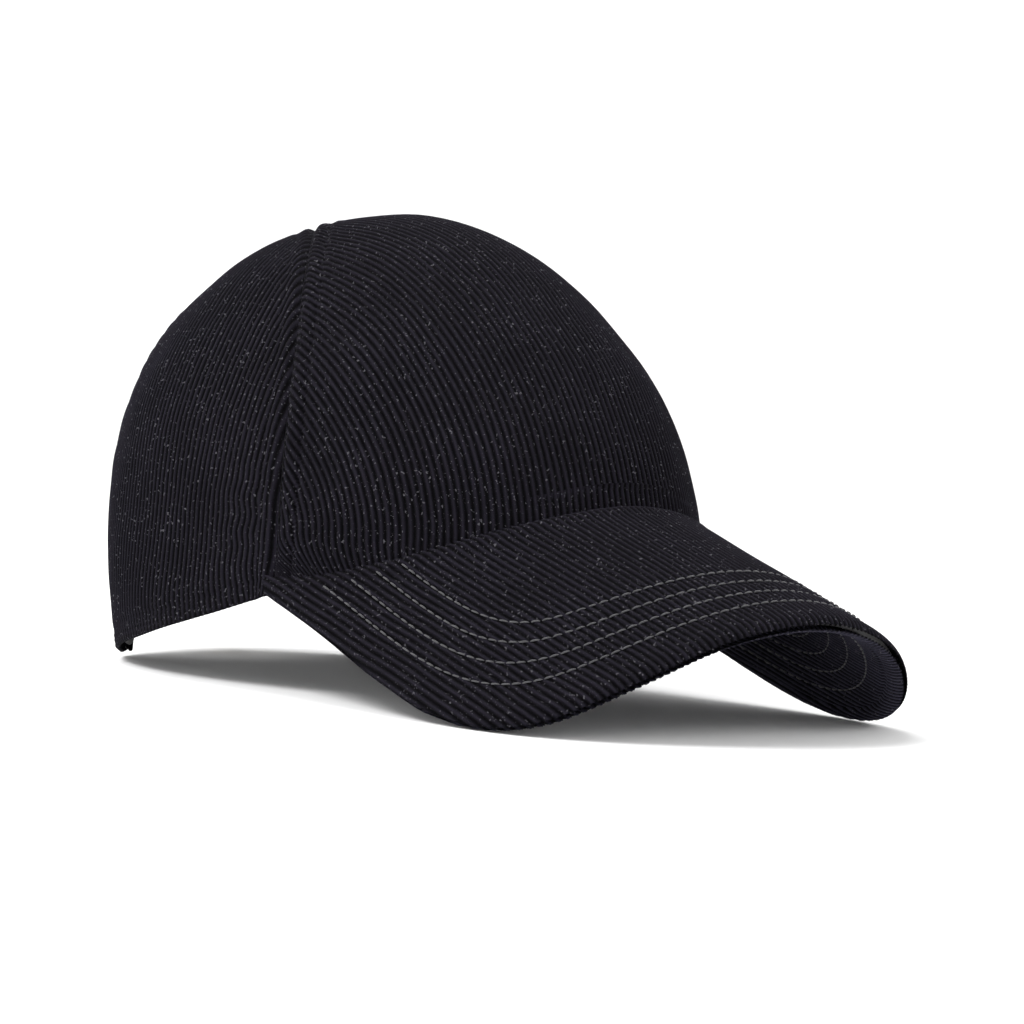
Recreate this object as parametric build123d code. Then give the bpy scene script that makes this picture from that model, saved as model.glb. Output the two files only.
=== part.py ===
"""Bump cap: a corduroy baseball-style cap with a hard impact liner inside.

Millimetres. +Z is up and the wearer faces -Y, so +X is the wearer's left. The origin is the middle of the
head opening, on the level surface that the cap stands on. The crown is a dome on an oval wall. Its panels,
tapes and linings are thin sheets on that one surface, each moved in by its own inset.
"""
from build123d import *
import math
import os

# --- crown ---------------------------------------------------------------------------------------------
HALF_WIDTH = 81.6        # oval of the crown at its widest level
FRONT_REACH = 107.5
REAR_REACH = 94.5
OVAL_POWER = 2.17        # 2 is an ellipse, more is boxier
EQUATOR = 48.7           # height of the widest level
DOME_RISE = 95.0         # from the equator to the top
DOME_POWER_FRONT = 1.8
DOME_POWER_REAR = 2.2
TOP_LEAN = 2.2           # how far the top leans back
PEAK_RISE = 5.1          # soft peak just in front of the top
PEAK_Y = -27.0
PEAK_SPREAD = 50.5
PEAK_RAMP = 30.0
FLARE_FRONT = 0.33       # how far the wall spreads, as a share, FLARE_DROP below the equator
FLARE_REAR = -0.17
FLARE_DROP = 60.0

# --- brim ----------------------------------------------------------------------------------------------
BRIM_LENGTH = 72.9
BRIM_ROOT_HEIGHT = 59.7  # middle of the brim's thickness at the crown, front centre
BRIM_SLOPE = 19.6        # degrees down towards the front
BRIM_ARCH = 41.4         # drop of the arch at ARCH_HALF_WIDTH
BRIM_ARCH_STEEP = 8.3    # more drop there, with the fourth power
ARCH_HALF_WIDTH = 80.0
ARCH_FADE = 0.088        # how much flatter the arch is at the front edge
BRIM_CORNER_Y = -34.8
BRIM_SIDE = (82.7, -67.1)
BRIM_CHEEK = (72.6, -152.3)
BRIM_THICK = 5.0
CORNER_WIDTH = 3.0       # of the brim's narrow ends at the temples
BOARD_THICK = 2.0
BOARD_SETBACK = 3.5
BOARD_START = 0.06       # share of the edge without board at each end
COVER_GAP = 0.05
EDGE_SETBACK = 1.2       # the square solid edge stands in for a rolled one of the same fullness
ROOT_CLEARANCE = 0.5     # between the crown and the brim's root

# --- cloth ---------------------------------------------------------------------------------------------
PANEL_THICK = 1.6
SEAM_GAP = 0.2           # degrees between neighbouring panels
HUB_Y = 43.0             # the five panels meet here, behind the top
HUB_RADIUS = 2.5
TAPE_THICK = 0.7
TAPE_WIDTH = 11.0
TAPE_LIFT = 3.0          # between the hem and the tapes' lower ends
TAPE_TOP_ANGLE = 82.0
BUCKRAM_TOP_ANGLE = 72.0
BUCKRAM_LIFT = 2.0
LINING_INSET = 1.9
APEX_PATCH_RADIUS = 11.0
APEX_PATCH_INSET = 2.9
BAND_LIFT = 1.5
LABEL_WIDTH = (114.0, 130.0)   # bearings of its ends
LABEL_HEIGHT = 18.0
LABEL_LIFT = 6.0
LABEL_THICK = 0.4
BAND_INSET = 2.8
BAND_THICK = 1.7
BAND_WIDTH = 32.0
BAND_END = 148.0         # degrees from the front
REAR_SEAM = 117.4        # degrees about the hub
HEM_TEMPLE = 29.4
HEM_CORNER = 2.1
HEM_BOW = 3.1            # how far the hem hangs below a straight line between them
HEM_CORNER_ANGLE = 142.0
HEM_BACK_ANGLE = 160.0
HEM_BACK = 19.6

# --- rear opening, strap and buckle -----------------------------------------------------------------------
ARCH_HALF = 36.0
ARCH_TOP = 67.6
BINDING_WIDTH = 10.0
STRAP_BOTTOM = 20.6
STRAP_WIDTH = 20.0
STRAP_INSET = 3.1
STRAP_THICK = 1.2
STRAP_HALF_ANGLE = 30.0
TAB_START = 8.5          # degrees from the back centre
TAB_END = 30.0
TAB_OUTER_INSET = -1.3
TAB_INNER_INSET = 1.85
TAB_LEAF = 1.0
TAB_LOOP_RADIUS = 1.9
TAB_LOOP_TURN = -5.0     # degrees about the bar
BUCKLE_HALF_ANGLE = 6.8
CHEEK_THICK = 0.9
CHEEK_GAP = 0.45
PLATE_INSET = 4.6
PLATE_THICK = 0.8
CHEEK_STANDOUT = 2.2
PIN_X = -8.0
PIN_RADIUS = 0.8
PIN_STANDOUT = 0.35
BAR_RADIUS = 0.7
CHEEK_START = 9.86       # degrees from the back centre towards the tab
CHEEK_END = 7.14
KNUCKLE_RADIUS = 1.75
LEVER_REACH = 16.6
CAM_CLEARANCE = 0.4
CAM_LENGTH = 1.3

# --- impact liner ----------------------------------------------------------------------------------------
LINER_HALF_WIDTH = 74.2  # half-ellipsoid that clears the crown's inside by 5 mm or more
LINER_FRONT = 95.0
LINER_REAR = 88.0
LINER_RISE = 89.0
SHELL_THICK = 2.2
PAD_THICK = 6.0
RIM_SIDE = 57.6          # height of the shell's rim
RIM_FRONT = 73.6
VENT_LENGTH = 34.0
VENT_WIDTH = 7.0
VENT_RINGS = (60.0, 53.0)      # radius of the vents straight and slantwise from the middle
PAD_CROWN = (30.0, 36.0)       # semi-axes
PAD_FRONT = (78.0, 60.0)
PAD_REAR = (66.0, 60.0)
PAD_SIDE = (50.0, 76.0)
PAD_CORNER = 9.0
PAD_FROM_RIM = 4.0
PATCH_WIDTH = 22.0
PATCH_THICK = 1.0
PATCH_CENTRES = ((0, -48), (0, 14), (38, -14), (-38, -14))

ABOVE_CROWN = 200.0      # height that clears the whole cap
OUT = "parts"


def sind(angle):
    return math.sin(math.radians(angle))


def cosd(angle):
    return math.cos(math.radians(angle))


# --- the crown's surface ---------------------------------------------------------------------------------
def crown_level(x, y, z, inset):
    """Zero on the crown's surface moved in by inset, negative inside it."""
    ramp = min(max((z - EQUATOR) / PEAK_RAMP, 0), 1)
    bump = PEAK_RISE * math.exp(-(x * x + (y - PEAK_Y) ** 2) / PEAK_SPREAD ** 2) * ramp
    above = z - bump - EQUATOR
    rise = max(above, 0) / (DOME_RISE - inset)
    drop = min(above, 0) / FLARE_DROP
    y0 = y - TOP_LEAN * rise
    frontness = -y0 / max(math.hypot(x, y0), 0.001)
    flare = FLARE_REAR + (FLARE_FRONT - FLARE_REAR) * (1 + frontness) / 2
    spread = 1 + flare * drop ** 2
    reach = (FRONT_REACH if y0 < 0 else REAR_REACH) - inset
    across = (abs(x) / (HALF_WIDTH - inset) / spread) ** OVAL_POWER
    along = (abs(y0) / reach / spread) ** OVAL_POWER
    power = DOME_POWER_REAR + (DOME_POWER_FRONT - DOME_POWER_REAR) * (1 + frontness) / 2
    return (across + along) ** (power / OVAL_POWER) + rise ** power - 1


def crown_hit(start, direction, inset):
    """Where the straight line from start, inside the crown, meets its surface."""
    near, far = 0.0, 220.0
    for _ in range(36):
        middle = (near + far) / 2
        point = start + direction * middle
        if crown_level(point.X, point.Y, point.Z, inset) < 0:
            near = middle
        else:
            far = middle
    return start + direction * near


def wall_point(bearing, height, inset, hub_y=0.0):
    """Point of the crown level with height, seen from the hub's axis. Bearing 0 is the front."""
    return crown_hit(Vector(0, hub_y, height), Vector(sind(bearing), -cosd(bearing), 0), inset)


def brim_height(x, y):
    """Height of the middle of the brim's thickness."""
    forward = -FRONT_REACH - y
    side = abs(x) / ARCH_HALF_WIDTH
    arch = (BRIM_ARCH * side ** 2 + BRIM_ARCH_STEEP * side ** 4) * (1 - ARCH_FADE * forward / BRIM_LENGTH)
    return BRIM_ROOT_HEIGHT - math.tan(math.radians(BRIM_SLOPE)) * forward - arch


def bearing_of(point):
    return abs(math.degrees(math.atan2(point.X, -point.Y)))


CORNER_X = HALF_WIDTH * (1 - (-BRIM_CORNER_Y / FRONT_REACH) ** OVAL_POWER) ** (1 / OVAL_POWER)
TEMPLE_ANGLE = math.degrees(math.atan2(CORNER_X, -BRIM_CORNER_Y))
FRONT_SEAM = math.degrees(math.atan2(CORNER_X, HUB_Y - BRIM_CORNER_Y))


def ease(start, end, share):
    share = min(max(share, 0), 1)
    return start + (end - start) * share * share * (3 - 2 * share)


def hem_height(point):
    """Height of the crown's lower edge at a point of its wall."""
    bearing = bearing_of(point)
    if bearing < TEMPLE_ANGLE:
        return brim_height(point.X, point.Y)
    if bearing < HEM_CORNER_ANGLE:
        share = (bearing - TEMPLE_ANGLE) / (HEM_CORNER_ANGLE - TEMPLE_ANGLE)
        return HEM_TEMPLE + (HEM_CORNER - HEM_TEMPLE) * share - 4 * HEM_BOW * share * (1 - share)
    return ease(HEM_CORNER, HEM_BACK, (bearing - HEM_CORNER_ANGLE) / (HEM_BACK_ANGLE - HEM_CORNER_ANGLE))


def hem_point(bearing, inset, hub_y=0.0):
    """Point of the lower edge: the wall is nearly upright, so a few turns settle the height."""
    height = EQUATOR
    for _ in range(6):
        height = hem_height(wall_point(bearing, height, inset, hub_y))
    return wall_point(bearing, height, inset, hub_y)


def column_foot(hub, bearing, inset):
    """Height of the lower edge where an upright plane through hub meets the wall."""
    outward = Vector(sind(bearing), -cosd(bearing), 0)
    height = EQUATOR
    for _ in range(6):
        height = hem_height(crown_hit(Vector(hub.X, hub.Y, height), outward, inset))
    return height


def crown_column(hub, bearing, bottom, top_angle, inset, rows):
    """Points up the crown in one upright plane through the hub, from height bottom to top_angle."""
    centre = Vector(hub.X, hub.Y, EQUATOR)
    outward = Vector(sind(bearing), -cosd(bearing), 0)
    if bottom < EQUATOR:
        start = (bottom - EQUATOR) / DOME_RISE
    else:
        foot = crown_hit(Vector(hub.X, hub.Y, bottom), outward, inset) - centre
        start = math.atan2(foot.Z, math.hypot(foot.X, foot.Y))
    column = []
    for row in range(rows):
        angle = start + (math.radians(top_angle) - start) * row / (rows - 1)
        if angle < 0:
            column.append(crown_hit(centre + Vector(0, 0, angle * DOME_RISE), outward, inset))
        else:
            slant = outward * math.cos(angle) + Vector(0, 0, math.sin(angle))
            column.append(crown_hit(centre, slant, inset))
    return column


def sheet(grid, thickness):
    """Solid sheet on a grid of points, thickened towards the inside of the cap."""
    face = Face.make_surface_from_array_of_points(grid, tol=0.05)
    inside = Vector(0, 0, EQUATOR) - face.center()
    return Solid.thicken(face, thickness, normal_override=inside)


def crown_sheet(start, end, inset, thickness, columns, bottom_rise=0.0, rows=14):
    """Part of the crown between two bearings about the hub, from the hem up to the hub."""
    top_angle = 90 - math.degrees(HUB_RADIUS / DOME_RISE)
    grid = []
    for index in range(columns):
        bearing = start + (end - start) * index / (columns - 1)
        bottom = hem_point(bearing, inset, HUB_Y).Z + bottom_rise
        grid.append(crown_column(Vector(0, HUB_Y, 0), bearing, bottom, top_angle, inset, rows))
    return sheet(grid, thickness)


def seam_tape(bearing, bottom_rise):
    """Straight tape along one seam, seen from above, on the inside of the panels."""
    side = Vector(cosd(bearing), sind(bearing), 0)
    grid = []
    for share in (-0.5, -0.25, 0, 0.25, 0.5):
        hub = Vector(0, HUB_Y, 0) + side * (share * TAPE_WIDTH)
        bottom = column_foot(hub, bearing, LINING_INSET) + bottom_rise
        grid.append(crown_column(hub, bearing, bottom, TAPE_TOP_ANGLE, LINING_INSET, 14))
    return sheet(grid, TAPE_THICK)


def wall_strip(start, end, low, high, inset, thickness, columns=15, rows=4):
    """Strip round the wall. low and high are heights, or functions of the bearing."""
    grid = []
    for index in range(columns):
        bearing = start + (end - start) * index / (columns - 1)
        bottom = low(bearing) if callable(low) else low
        top = high(bearing) if callable(high) else high
        heights = [bottom + (top - bottom) * row / (rows - 1) for row in range(rows)]
        grid.append([wall_point(bearing, height, inset) for height in heights])
    return sheet(grid, thickness)


def mirrored(solid):
    return solid.mirror(Plane.YZ)


# --- crown pieces ----------------------------------------------------------------------------------------
def arch_prism(grow):
    """Upright half-oval through the back of the cap: the rear opening, made larger by grow."""
    half = ARCH_HALF + grow
    with BuildSketch(Plane.XZ) as outline:
        Ellipse(half, ARCH_TOP + grow - STRAP_BOTTOM)
        Rectangle(2 * half, ABOVE_CROWN, align=(Align.CENTER, Align.MAX), mode=Mode.SUBTRACT)
        Rectangle(2 * half, 3 * STRAP_BOTTOM, align=(Align.CENTER, Align.MAX))
    prism = extrude(outline.sketch, amount=-2 * REAR_REACH)
    return Pos(0, 0, STRAP_BOTTOM) * prism


def front_panel():
    return crown_sheet(-FRONT_SEAM + SEAM_GAP, FRONT_SEAM - SEAM_GAP, 0, PANEL_THICK, 19)


def side_panel():
    return crown_sheet(FRONT_SEAM + SEAM_GAP, REAR_SEAM - SEAM_GAP, 0, PANEL_THICK, 15)


def back_panel():
    whole = crown_sheet(REAR_SEAM + SEAM_GAP, 180 - SEAM_GAP, 0, PANEL_THICK, 31, rows=20)
    return whole - arch_prism(0)


def front_buckram():
    """Stiffener behind the front panel, clear of the two front seams' tapes."""
    margin = TAPE_WIDTH / 2 + 1
    columns = 15
    grid = []
    for index in range(columns):
        share = 2 * index / (columns - 1) - 1
        bearing = FRONT_SEAM * share
        side = Vector(cosd(bearing), sind(bearing), 0) * (-margin * share)
        hub = Vector(0, HUB_Y, 0) + side
        bottom = hem_point(bearing, LINING_INSET, HUB_Y).Z + BUCKRAM_LIFT
        grid.append(crown_column(hub, bearing, bottom, BUCKRAM_TOP_ANGLE, LINING_INSET, 14))
    return sheet(grid, TAPE_THICK)


def apex_patch():
    """Round patch over the hub, inside, below the ends of the tapes."""
    layer = crown_cap_layer(APEX_PATCH_INSET, TAPE_THICK, (0, HUB_Y))
    return layer & Pos(0, HUB_Y, ABOVE_CROWN / 2) * Cylinder(APEX_PATCH_RADIUS, ABOVE_CROWN)


def crown_cap_layer(inset, thickness, centre):
    """Square sheet of the crown round an upright axis, larger than what is cut from it."""
    half = PATCH_WIDTH / 2 + 13
    steps = [half * (index / 4 - 1) for index in range(9)]
    grid = []
    for across in steps:
        feet = [Vector(centre[0] + across, centre[1] + along, EQUATOR) for along in steps]
        grid.append([crown_hit(foot, Vector(0, 0, 1), inset) for foot in feet])
    return sheet(grid, thickness)


def patch_prism(centre):
    return Pos(*centre, ABOVE_CROWN / 2) * Box(PATCH_WIDTH, PATCH_WIDTH, ABOVE_CROWN)


def loop_patches():
    """Soft halves of the four hook-and-loop patches, on the inside of the crown."""
    inset = LINING_INSET + TAPE_THICK + 0.2
    return [crown_cap_layer(inset, PATCH_THICK, centre) & patch_prism(centre) for centre in PATCH_CENTRES]


def hem_level(bearing):
    return hem_point(bearing, 0).Z


def band_bottom(bearing):
    return hem_level(bearing) + BAND_LIFT


def band_top(bearing):
    return band_bottom(bearing) + BAND_WIDTH


def sweatband():
    return wall_strip(-BAND_END, BAND_END, band_bottom, band_top, BAND_INSET, BAND_THICK, columns=41)


def rear_arch_binding():
    low = STRAP_TOP + 1
    high = ARCH_TOP + BINDING_WIDTH + 9
    whole = wall_strip(140, 220, low, high, LINING_INSET, TAPE_THICK, columns=17, rows=9)
    return whole & (arch_prism(BINDING_WIDTH) - arch_prism(0))


def care_label():
    low = hem_level(LABEL_WIDTH[1]) + LABEL_LIFT
    inset = BAND_INSET + BAND_THICK + 0.2
    return wall_strip(*LABEL_WIDTH, low, low + LABEL_HEIGHT, inset, LABEL_THICK, columns=6)


# --- brim ------------------------------------------------------------------------------------------------
def brim_point(x, y, offset):
    step = 0.5
    fall_x = (brim_height(x + step, y) - brim_height(x - step, y)) / (2 * step)
    fall_y = (brim_height(x, y + step) - brim_height(x, y - step)) / (2 * step)
    normal = Vector(-fall_x, -fall_y, 1).normalized()
    return Vector(x, y, brim_height(x, y)) + normal * offset


def brim_edge():
    """Outline of the brim, seen from above, from one temple round to the other."""
    side = [(CORNER_X + CORNER_WIDTH, BRIM_CORNER_Y - 1), BRIM_SIDE, BRIM_CHEEK]
    tip = (0, -FRONT_REACH - BRIM_LENGTH)
    return Spline(*side, tip, *[(-x, y) for x, y in reversed(side)])


def brim_sheet(low, high, start, inner, outer, rows):
    """Arched sheet between two offsets from the middle of the brim's thickness.

    It spans the shares start to 1 - start of the root and the edge. inner and outer give the share of the
    way from the root to the edge, from the length of that way.
    """
    edge = brim_edge()
    columns = 27
    grid = []
    for column in range(columns):
        share = start + (1 - 2 * start) * column / (columns - 1)
        root = hem_point((1 - 2 * share) * (TEMPLE_ANGLE - 1), -ROOT_CLEARANCE)
        root = Vector(root.X, root.Y, 0)
        way = edge @ share - root
        near = inner(way.length)
        far = outer(way.length)
        places = [root + way * (near + (far - near) * row / (rows - 1)) for row in range(rows)]
        grid.append([brim_point(place.X, place.Y, high) for place in places])
    face = Face.make_surface_from_array_of_points(grid, tol=0.03)
    return Solid.thicken(face, high - low, normal_override=Vector(0, 0, -1))


def at_root(length):
    return 0.0


def at_edge(length):
    return 1 - EDGE_SETBACK / length


def at_board_edge(length):
    return 1 - BOARD_SETBACK / length


def past_board_edge(length):
    return 1 - (BOARD_SETBACK - 2 * COVER_GAP) / length


def brim_pieces():
    half_board = BOARD_THICK / 2
    under_board = half_board + COVER_GAP
    half_brim = BRIM_THICK / 2
    return {
        "brim_top_cover": brim_sheet(under_board, half_brim, 0, at_root, at_edge, 11),
        "brim_under_cover": brim_sheet(-half_brim, -under_board, 0, at_root, at_edge, 11),
        "brim_board": brim_sheet(-half_board, half_board, BOARD_START, at_root, at_board_edge, 11),
        "brim_seam_allowance": brim_sheet(-half_board, half_board, BOARD_START, past_board_edge, at_edge, 3),
    }


# --- strap and buckle ------------------------------------------------------------------------------------
STRAP_TOP = STRAP_BOTTOM + STRAP_WIDTH
STRAP_MIDDLE = STRAP_BOTTOM + STRAP_WIDTH / 2


def rear_strap():
    ends = (180 - STRAP_HALF_ANGLE, 180 + STRAP_HALF_ANGLE)
    return wall_strip(*ends, STRAP_BOTTOM, STRAP_TOP, STRAP_INSET, STRAP_THICK)


def tab_leaf(inset):
    return wall_strip(180 - TAB_START, 180 - TAB_END, STRAP_BOTTOM, STRAP_TOP, inset, TAB_LEAF, columns=9)


def bar_place():
    """Middle of the buckle's bar: its Z runs up along the leaning wall, its X along the strap."""
    inset = (TAB_OUTER_INSET + TAB_LEAF + TAB_INNER_INSET) / 2
    low = wall_point(180 - TAB_START, STRAP_BOTTOM, inset)
    middle = wall_point(180 - TAB_START, STRAP_MIDDLE, inset)
    high = wall_point(180 - TAB_START, STRAP_TOP, inset)
    along = Vector(cosd(180 - TAB_START), sind(180 - TAB_START), 0)
    return Plane(origin=(low + high) / 4 + middle / 2, x_dir=along, z_dir=(high - low)).location


def tab_loop():
    """The turn of the tab round the bar, as half a tube."""
    ring = Cylinder(TAB_LOOP_RADIUS, STRAP_WIDTH) - Cylinder(BAR_RADIUS + 0.15, STRAP_WIDTH)
    half = ring & Pos(TAB_LOOP_RADIUS, 0, 0) * Box(2 * TAB_LOOP_RADIUS, 2 * TAB_LOOP_RADIUS, STRAP_WIDTH)
    return bar_place() * Rot(0, 0, TAB_LOOP_TURN) * half


def buckle_tab():
    """Two leaves that hold the edge of the back panel between them, joined round the buckle's bar."""
    return [tab_leaf(TAB_OUTER_INSET), tab_leaf(TAB_INNER_INSET), tab_loop()]


def cheek(bottom):
    """Flat side of the buckle's frame, above or below the strap."""
    angles = [180 - CHEEK_START + (CHEEK_START + CHEEK_END) * step / 6 for step in range(7)]
    inner = [wall_point(angle, bottom, PLATE_INSET + PLATE_THICK) for angle in angles]
    outer = [wall_point(angle, STRAP_MIDDLE, -CHEEK_STANDOUT) for angle in angles]
    with BuildSketch() as outline:
        with BuildLine():
            inside = Spline(*[(point.X, point.Y) for point in inner])
            outside = Spline(*[(point.X, point.Y) for point in outer])
            Line(inside @ 0, outside @ 0)
            Line(inside @ 1, outside @ 1)
        make_face()
    return Pos(0, 0, bottom) * extrude(outline.sketch, amount=CHEEK_THICK)


def pin_centre():
    wall = wall_point(180, STRAP_MIDDLE, 0)
    return Vector(PIN_X, wall.Y + PIN_STANDOUT, 0)


CHEEK_LOW = STRAP_BOTTOM - CHEEK_GAP - CHEEK_THICK
CHEEK_HIGH = STRAP_TOP + CHEEK_GAP
BUCKLE_HEIGHT = CHEEK_HIGH + CHEEK_THICK - CHEEK_LOW


def buckle_frame():
    plate_ends = (180 - BUCKLE_HALF_ANGLE, 180 + BUCKLE_HALF_ANGLE)
    plate = wall_strip(*plate_ends, CHEEK_LOW, CHEEK_HIGH + CHEEK_THICK, PLATE_INSET, PLATE_THICK, columns=7)
    middle = CHEEK_LOW + BUCKLE_HEIGHT / 2
    bar = bar_place() * Cylinder(BAR_RADIUS, BUCKLE_HEIGHT)
    pin = pin_centre()
    hole = Pos(pin.X, pin.Y, middle) * Cylinder(PIN_RADIUS + 0.02, BUCKLE_HEIGHT + 2)
    return plate + cheek(CHEEK_LOW) + cheek(CHEEK_HIGH) + bar - hole


def buckle_pin():
    pin = pin_centre()
    middle = CHEEK_LOW + BUCKLE_HEIGHT / 2
    return Pos(pin.X, pin.Y, middle) * Cylinder(PIN_RADIUS, BUCKLE_HEIGHT + 1.2)


def buckle_lever():
    """Curved lever on the pin, with a knuckle round the pin and a cam that bears on the strap."""
    pin = pin_centre()
    width = STRAP_WIDTH - 1.0
    strap_face = wall_point(180 + BUCKLE_HALF_ANGLE * 0.7, STRAP_TOP, STRAP_INSET).Y
    cam_depth = pin.Y - strap_face - CAM_CLEARANCE
    cam_half = CAM_LENGTH / 2
    with BuildSketch() as cam_outline:
        with BuildLine():
            start = (-KNUCKLE_RADIUS, 0)
            end = (KNUCKLE_RADIUS, 0)
            Polyline(start, (-cam_half, -cam_depth), (cam_half, -cam_depth), end, close=True)
        make_face()
    cam = extrude(cam_outline.sketch, amount=width / 2, both=True)
    with BuildSketch() as outline:
        with BuildLine():
            low = Spline((0, 1.0), (LEVER_REACH / 2, 1.7), (LEVER_REACH - 1.1, 1.2))
            tip = ThreePointArc(low @ 1, (LEVER_REACH, 2.0), (LEVER_REACH - 1.0, 2.5))
            high = Spline(tip @ 1, (LEVER_REACH / 2, 2.9), (0, KNUCKLE_RADIUS))
            Line(high @ 1, low @ 0)
        make_face()
    blade = extrude(outline.sketch, amount=width / 2, both=True)
    knuckle = Cylinder(KNUCKLE_RADIUS, width)
    hole = Cylinder(PIN_RADIUS + 0.06, width + 2)
    return Pos(pin.X, pin.Y, STRAP_MIDDLE) * (blade + knuckle + cam - hole)


# --- impact liner ----------------------------------------------------------------------------------------
LINER_REACH = (LINER_FRONT + LINER_REAR) / 2
LINER_Y = (LINER_REAR - LINER_FRONT) / 2


def dome(inset):
    """Half ellipsoid inside the crown: the liner's outer surface moved in by inset."""
    ball = Sphere(1) & Pos(0, 0, 1) * Box(4, 4, 2)
    semi_axes = (LINER_HALF_WIDTH - inset, LINER_REACH - inset, LINER_RISE - inset)
    return Pos(0, LINER_Y, EQUATOR) * scale(ball, by=semi_axes)


def dome_layer(inset, thickness):
    return dome(inset) - dome(inset + thickness)


def above_rim(lift):
    """Everything above the liner's rim, which rises towards the front and the back."""
    front = RIM_FRONT + lift
    side = RIM_SIDE + lift
    with BuildSketch(Plane.YZ) as outline:
        with BuildLine():
            rim = Spline((-130, front + 12), (-85, front), (-20, side), (40, side), (85, side + 10),
                         (120, side + 24))
            Polyline(rim @ 1, (120, ABOVE_CROWN), (-130, ABOVE_CROWN), rim @ 0)
        make_face()
    return extrude(outline.sketch, amount=1.5 * LINER_HALF_WIDTH, both=True)


def vent_slots():
    """Long rounded vents through the dome, in two rings of rays round the top."""
    slots = []
    for ray in range(8):
        place = Pos(0, LINER_Y, 0) * Rot(0, 0, 45 * ray) * Pos(0, -VENT_RINGS[ray % 2], RIM_SIDE)
        slot = extrude(SlotOverall(VENT_LENGTH, VENT_WIDTH, rotation=90), amount=ABOVE_CROWN)
        slots.append(place * slot)
    return slots


def impact_shell():
    shell = dome_layer(0, SHELL_THICK) & above_rim(0)
    for slot in vent_slots():
        shell -= slot
    return shell


def pad(footprint):
    """Foam pad under the shell: the pad layer over an outline seen from above."""
    layer = dome_layer(SHELL_THICK + 0.1, PAD_THICK) & above_rim(PAD_FROM_RIM)
    return layer & Pos(0, LINER_Y, 0) * extrude(footprint, amount=ABOVE_CROWN)


def pads():
    crown = pad(Ellipse(*PAD_CROWN))
    front = pad(Pos(0, -80) * RectangleRounded(*PAD_FRONT, PAD_CORNER))
    rear = pad(Pos(0, 80) * RectangleRounded(*PAD_REAR, PAD_CORNER))
    left = pad(Pos(70, 4) * RectangleRounded(*PAD_SIDE, PAD_CORNER))
    return {"pad_crown": crown, "pad_front": front, "pad_rear": rear, "pad_left": left,
            "pad_right": mirrored(left)}


def hook_patches():
    layer = dome_layer(-PATCH_THICK - 0.1, PATCH_THICK)
    return [layer & patch_prism(centre) for centre in PATCH_CENTRES]


# --- writing ---------------------------------------------------------------------------------------------
def save(name, shape):
    solids = [shape] if isinstance(shape, Solid) else Compound(children=list_of(shape)).solids()
    body = solids[0] if len(solids) == 1 else Compound(children=list(solids))
    body.label = name
    export_step(body, os.path.join(OUT, name + ".step"))


def list_of(shape):
    return list(shape) if isinstance(shape, (list, tuple)) else [shape]


def main():
    os.makedirs(OUT, exist_ok=True)
    side = side_panel()
    back = back_panel()
    front_tape = seam_tape(FRONT_SEAM, TAPE_LIFT)
    rear_tape = seam_tape(REAR_SEAM, TAPE_LIFT)
    save("front_panel", front_panel())
    save("side_panel_left", side)
    save("side_panel_right", mirrored(side))
    save("back_panel_left", back)
    save("back_panel_right", mirrored(back))
    save("front_buckram", front_buckram())
    save("seam_tape_front_left", front_tape)
    save("seam_tape_front_right", mirrored(front_tape))
    save("seam_tape_rear_left", rear_tape)
    save("seam_tape_rear_right", mirrored(rear_tape))
    save("seam_tape_centre", seam_tape(180, ARCH_TOP + BINDING_WIDTH + 1 - HEM_BACK))
    save("apex_patch", apex_patch())
    save("loop_patches", loop_patches())
    save("sweatband", sweatband())
    save("rear_arch_binding", rear_arch_binding())
    save("care_label", care_label())
    for name, solid in brim_pieces().items():
        save(name, solid)
    save("rear_strap", rear_strap())
    save("buckle_tab", buckle_tab())
    save("buckle_frame", buckle_frame())
    save("buckle_pin", buckle_pin())
    save("buckle_lever", buckle_lever())
    save("impact_shell", impact_shell())
    for name, solid in pads().items():
        save(name, solid)
    save("hook_patches", hook_patches())


main()
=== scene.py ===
"""Looks of the bump cap: corduroy panels, stitched brim, strap and buckle, and the liner inside.

The shape repeats the frame's driving dimensions in millimetres; every mesh is written in metres.
"""
import math

import bmesh
import bpy
import numpy as np
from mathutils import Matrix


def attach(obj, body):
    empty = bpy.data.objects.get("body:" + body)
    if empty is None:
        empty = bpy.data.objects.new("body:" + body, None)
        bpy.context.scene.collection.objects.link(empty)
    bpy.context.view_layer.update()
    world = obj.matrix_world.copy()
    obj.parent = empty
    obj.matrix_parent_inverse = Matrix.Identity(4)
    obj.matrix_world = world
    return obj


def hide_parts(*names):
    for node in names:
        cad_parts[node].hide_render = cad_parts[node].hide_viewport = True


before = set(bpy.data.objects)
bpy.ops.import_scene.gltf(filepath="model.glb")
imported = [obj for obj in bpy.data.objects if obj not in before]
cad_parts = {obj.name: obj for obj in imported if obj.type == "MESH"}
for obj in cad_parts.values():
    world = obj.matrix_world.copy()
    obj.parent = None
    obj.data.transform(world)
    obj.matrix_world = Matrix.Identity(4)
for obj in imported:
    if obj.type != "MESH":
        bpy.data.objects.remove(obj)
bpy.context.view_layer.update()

MM = 0.001

# --- crown and brim dimensions, mm, as in the frame ---------------------------------------------------
HALF_WIDTH = 81.6
FRONT_REACH = 107.5
REAR_REACH = 94.5
OVAL_POWER = 2.17
EQUATOR = 48.7
DOME_RISE = 95.0
DOME_POWER_FRONT = 1.8
DOME_POWER_REAR = 2.2
TOP_LEAN = 2.2
PEAK_RISE = 5.1
PEAK_Y = -27.0
PEAK_SPREAD = 50.5
PEAK_RAMP = 30.0
FLARE_FRONT = 0.33
FLARE_REAR = -0.17
FLARE_DROP = 60.0

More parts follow.
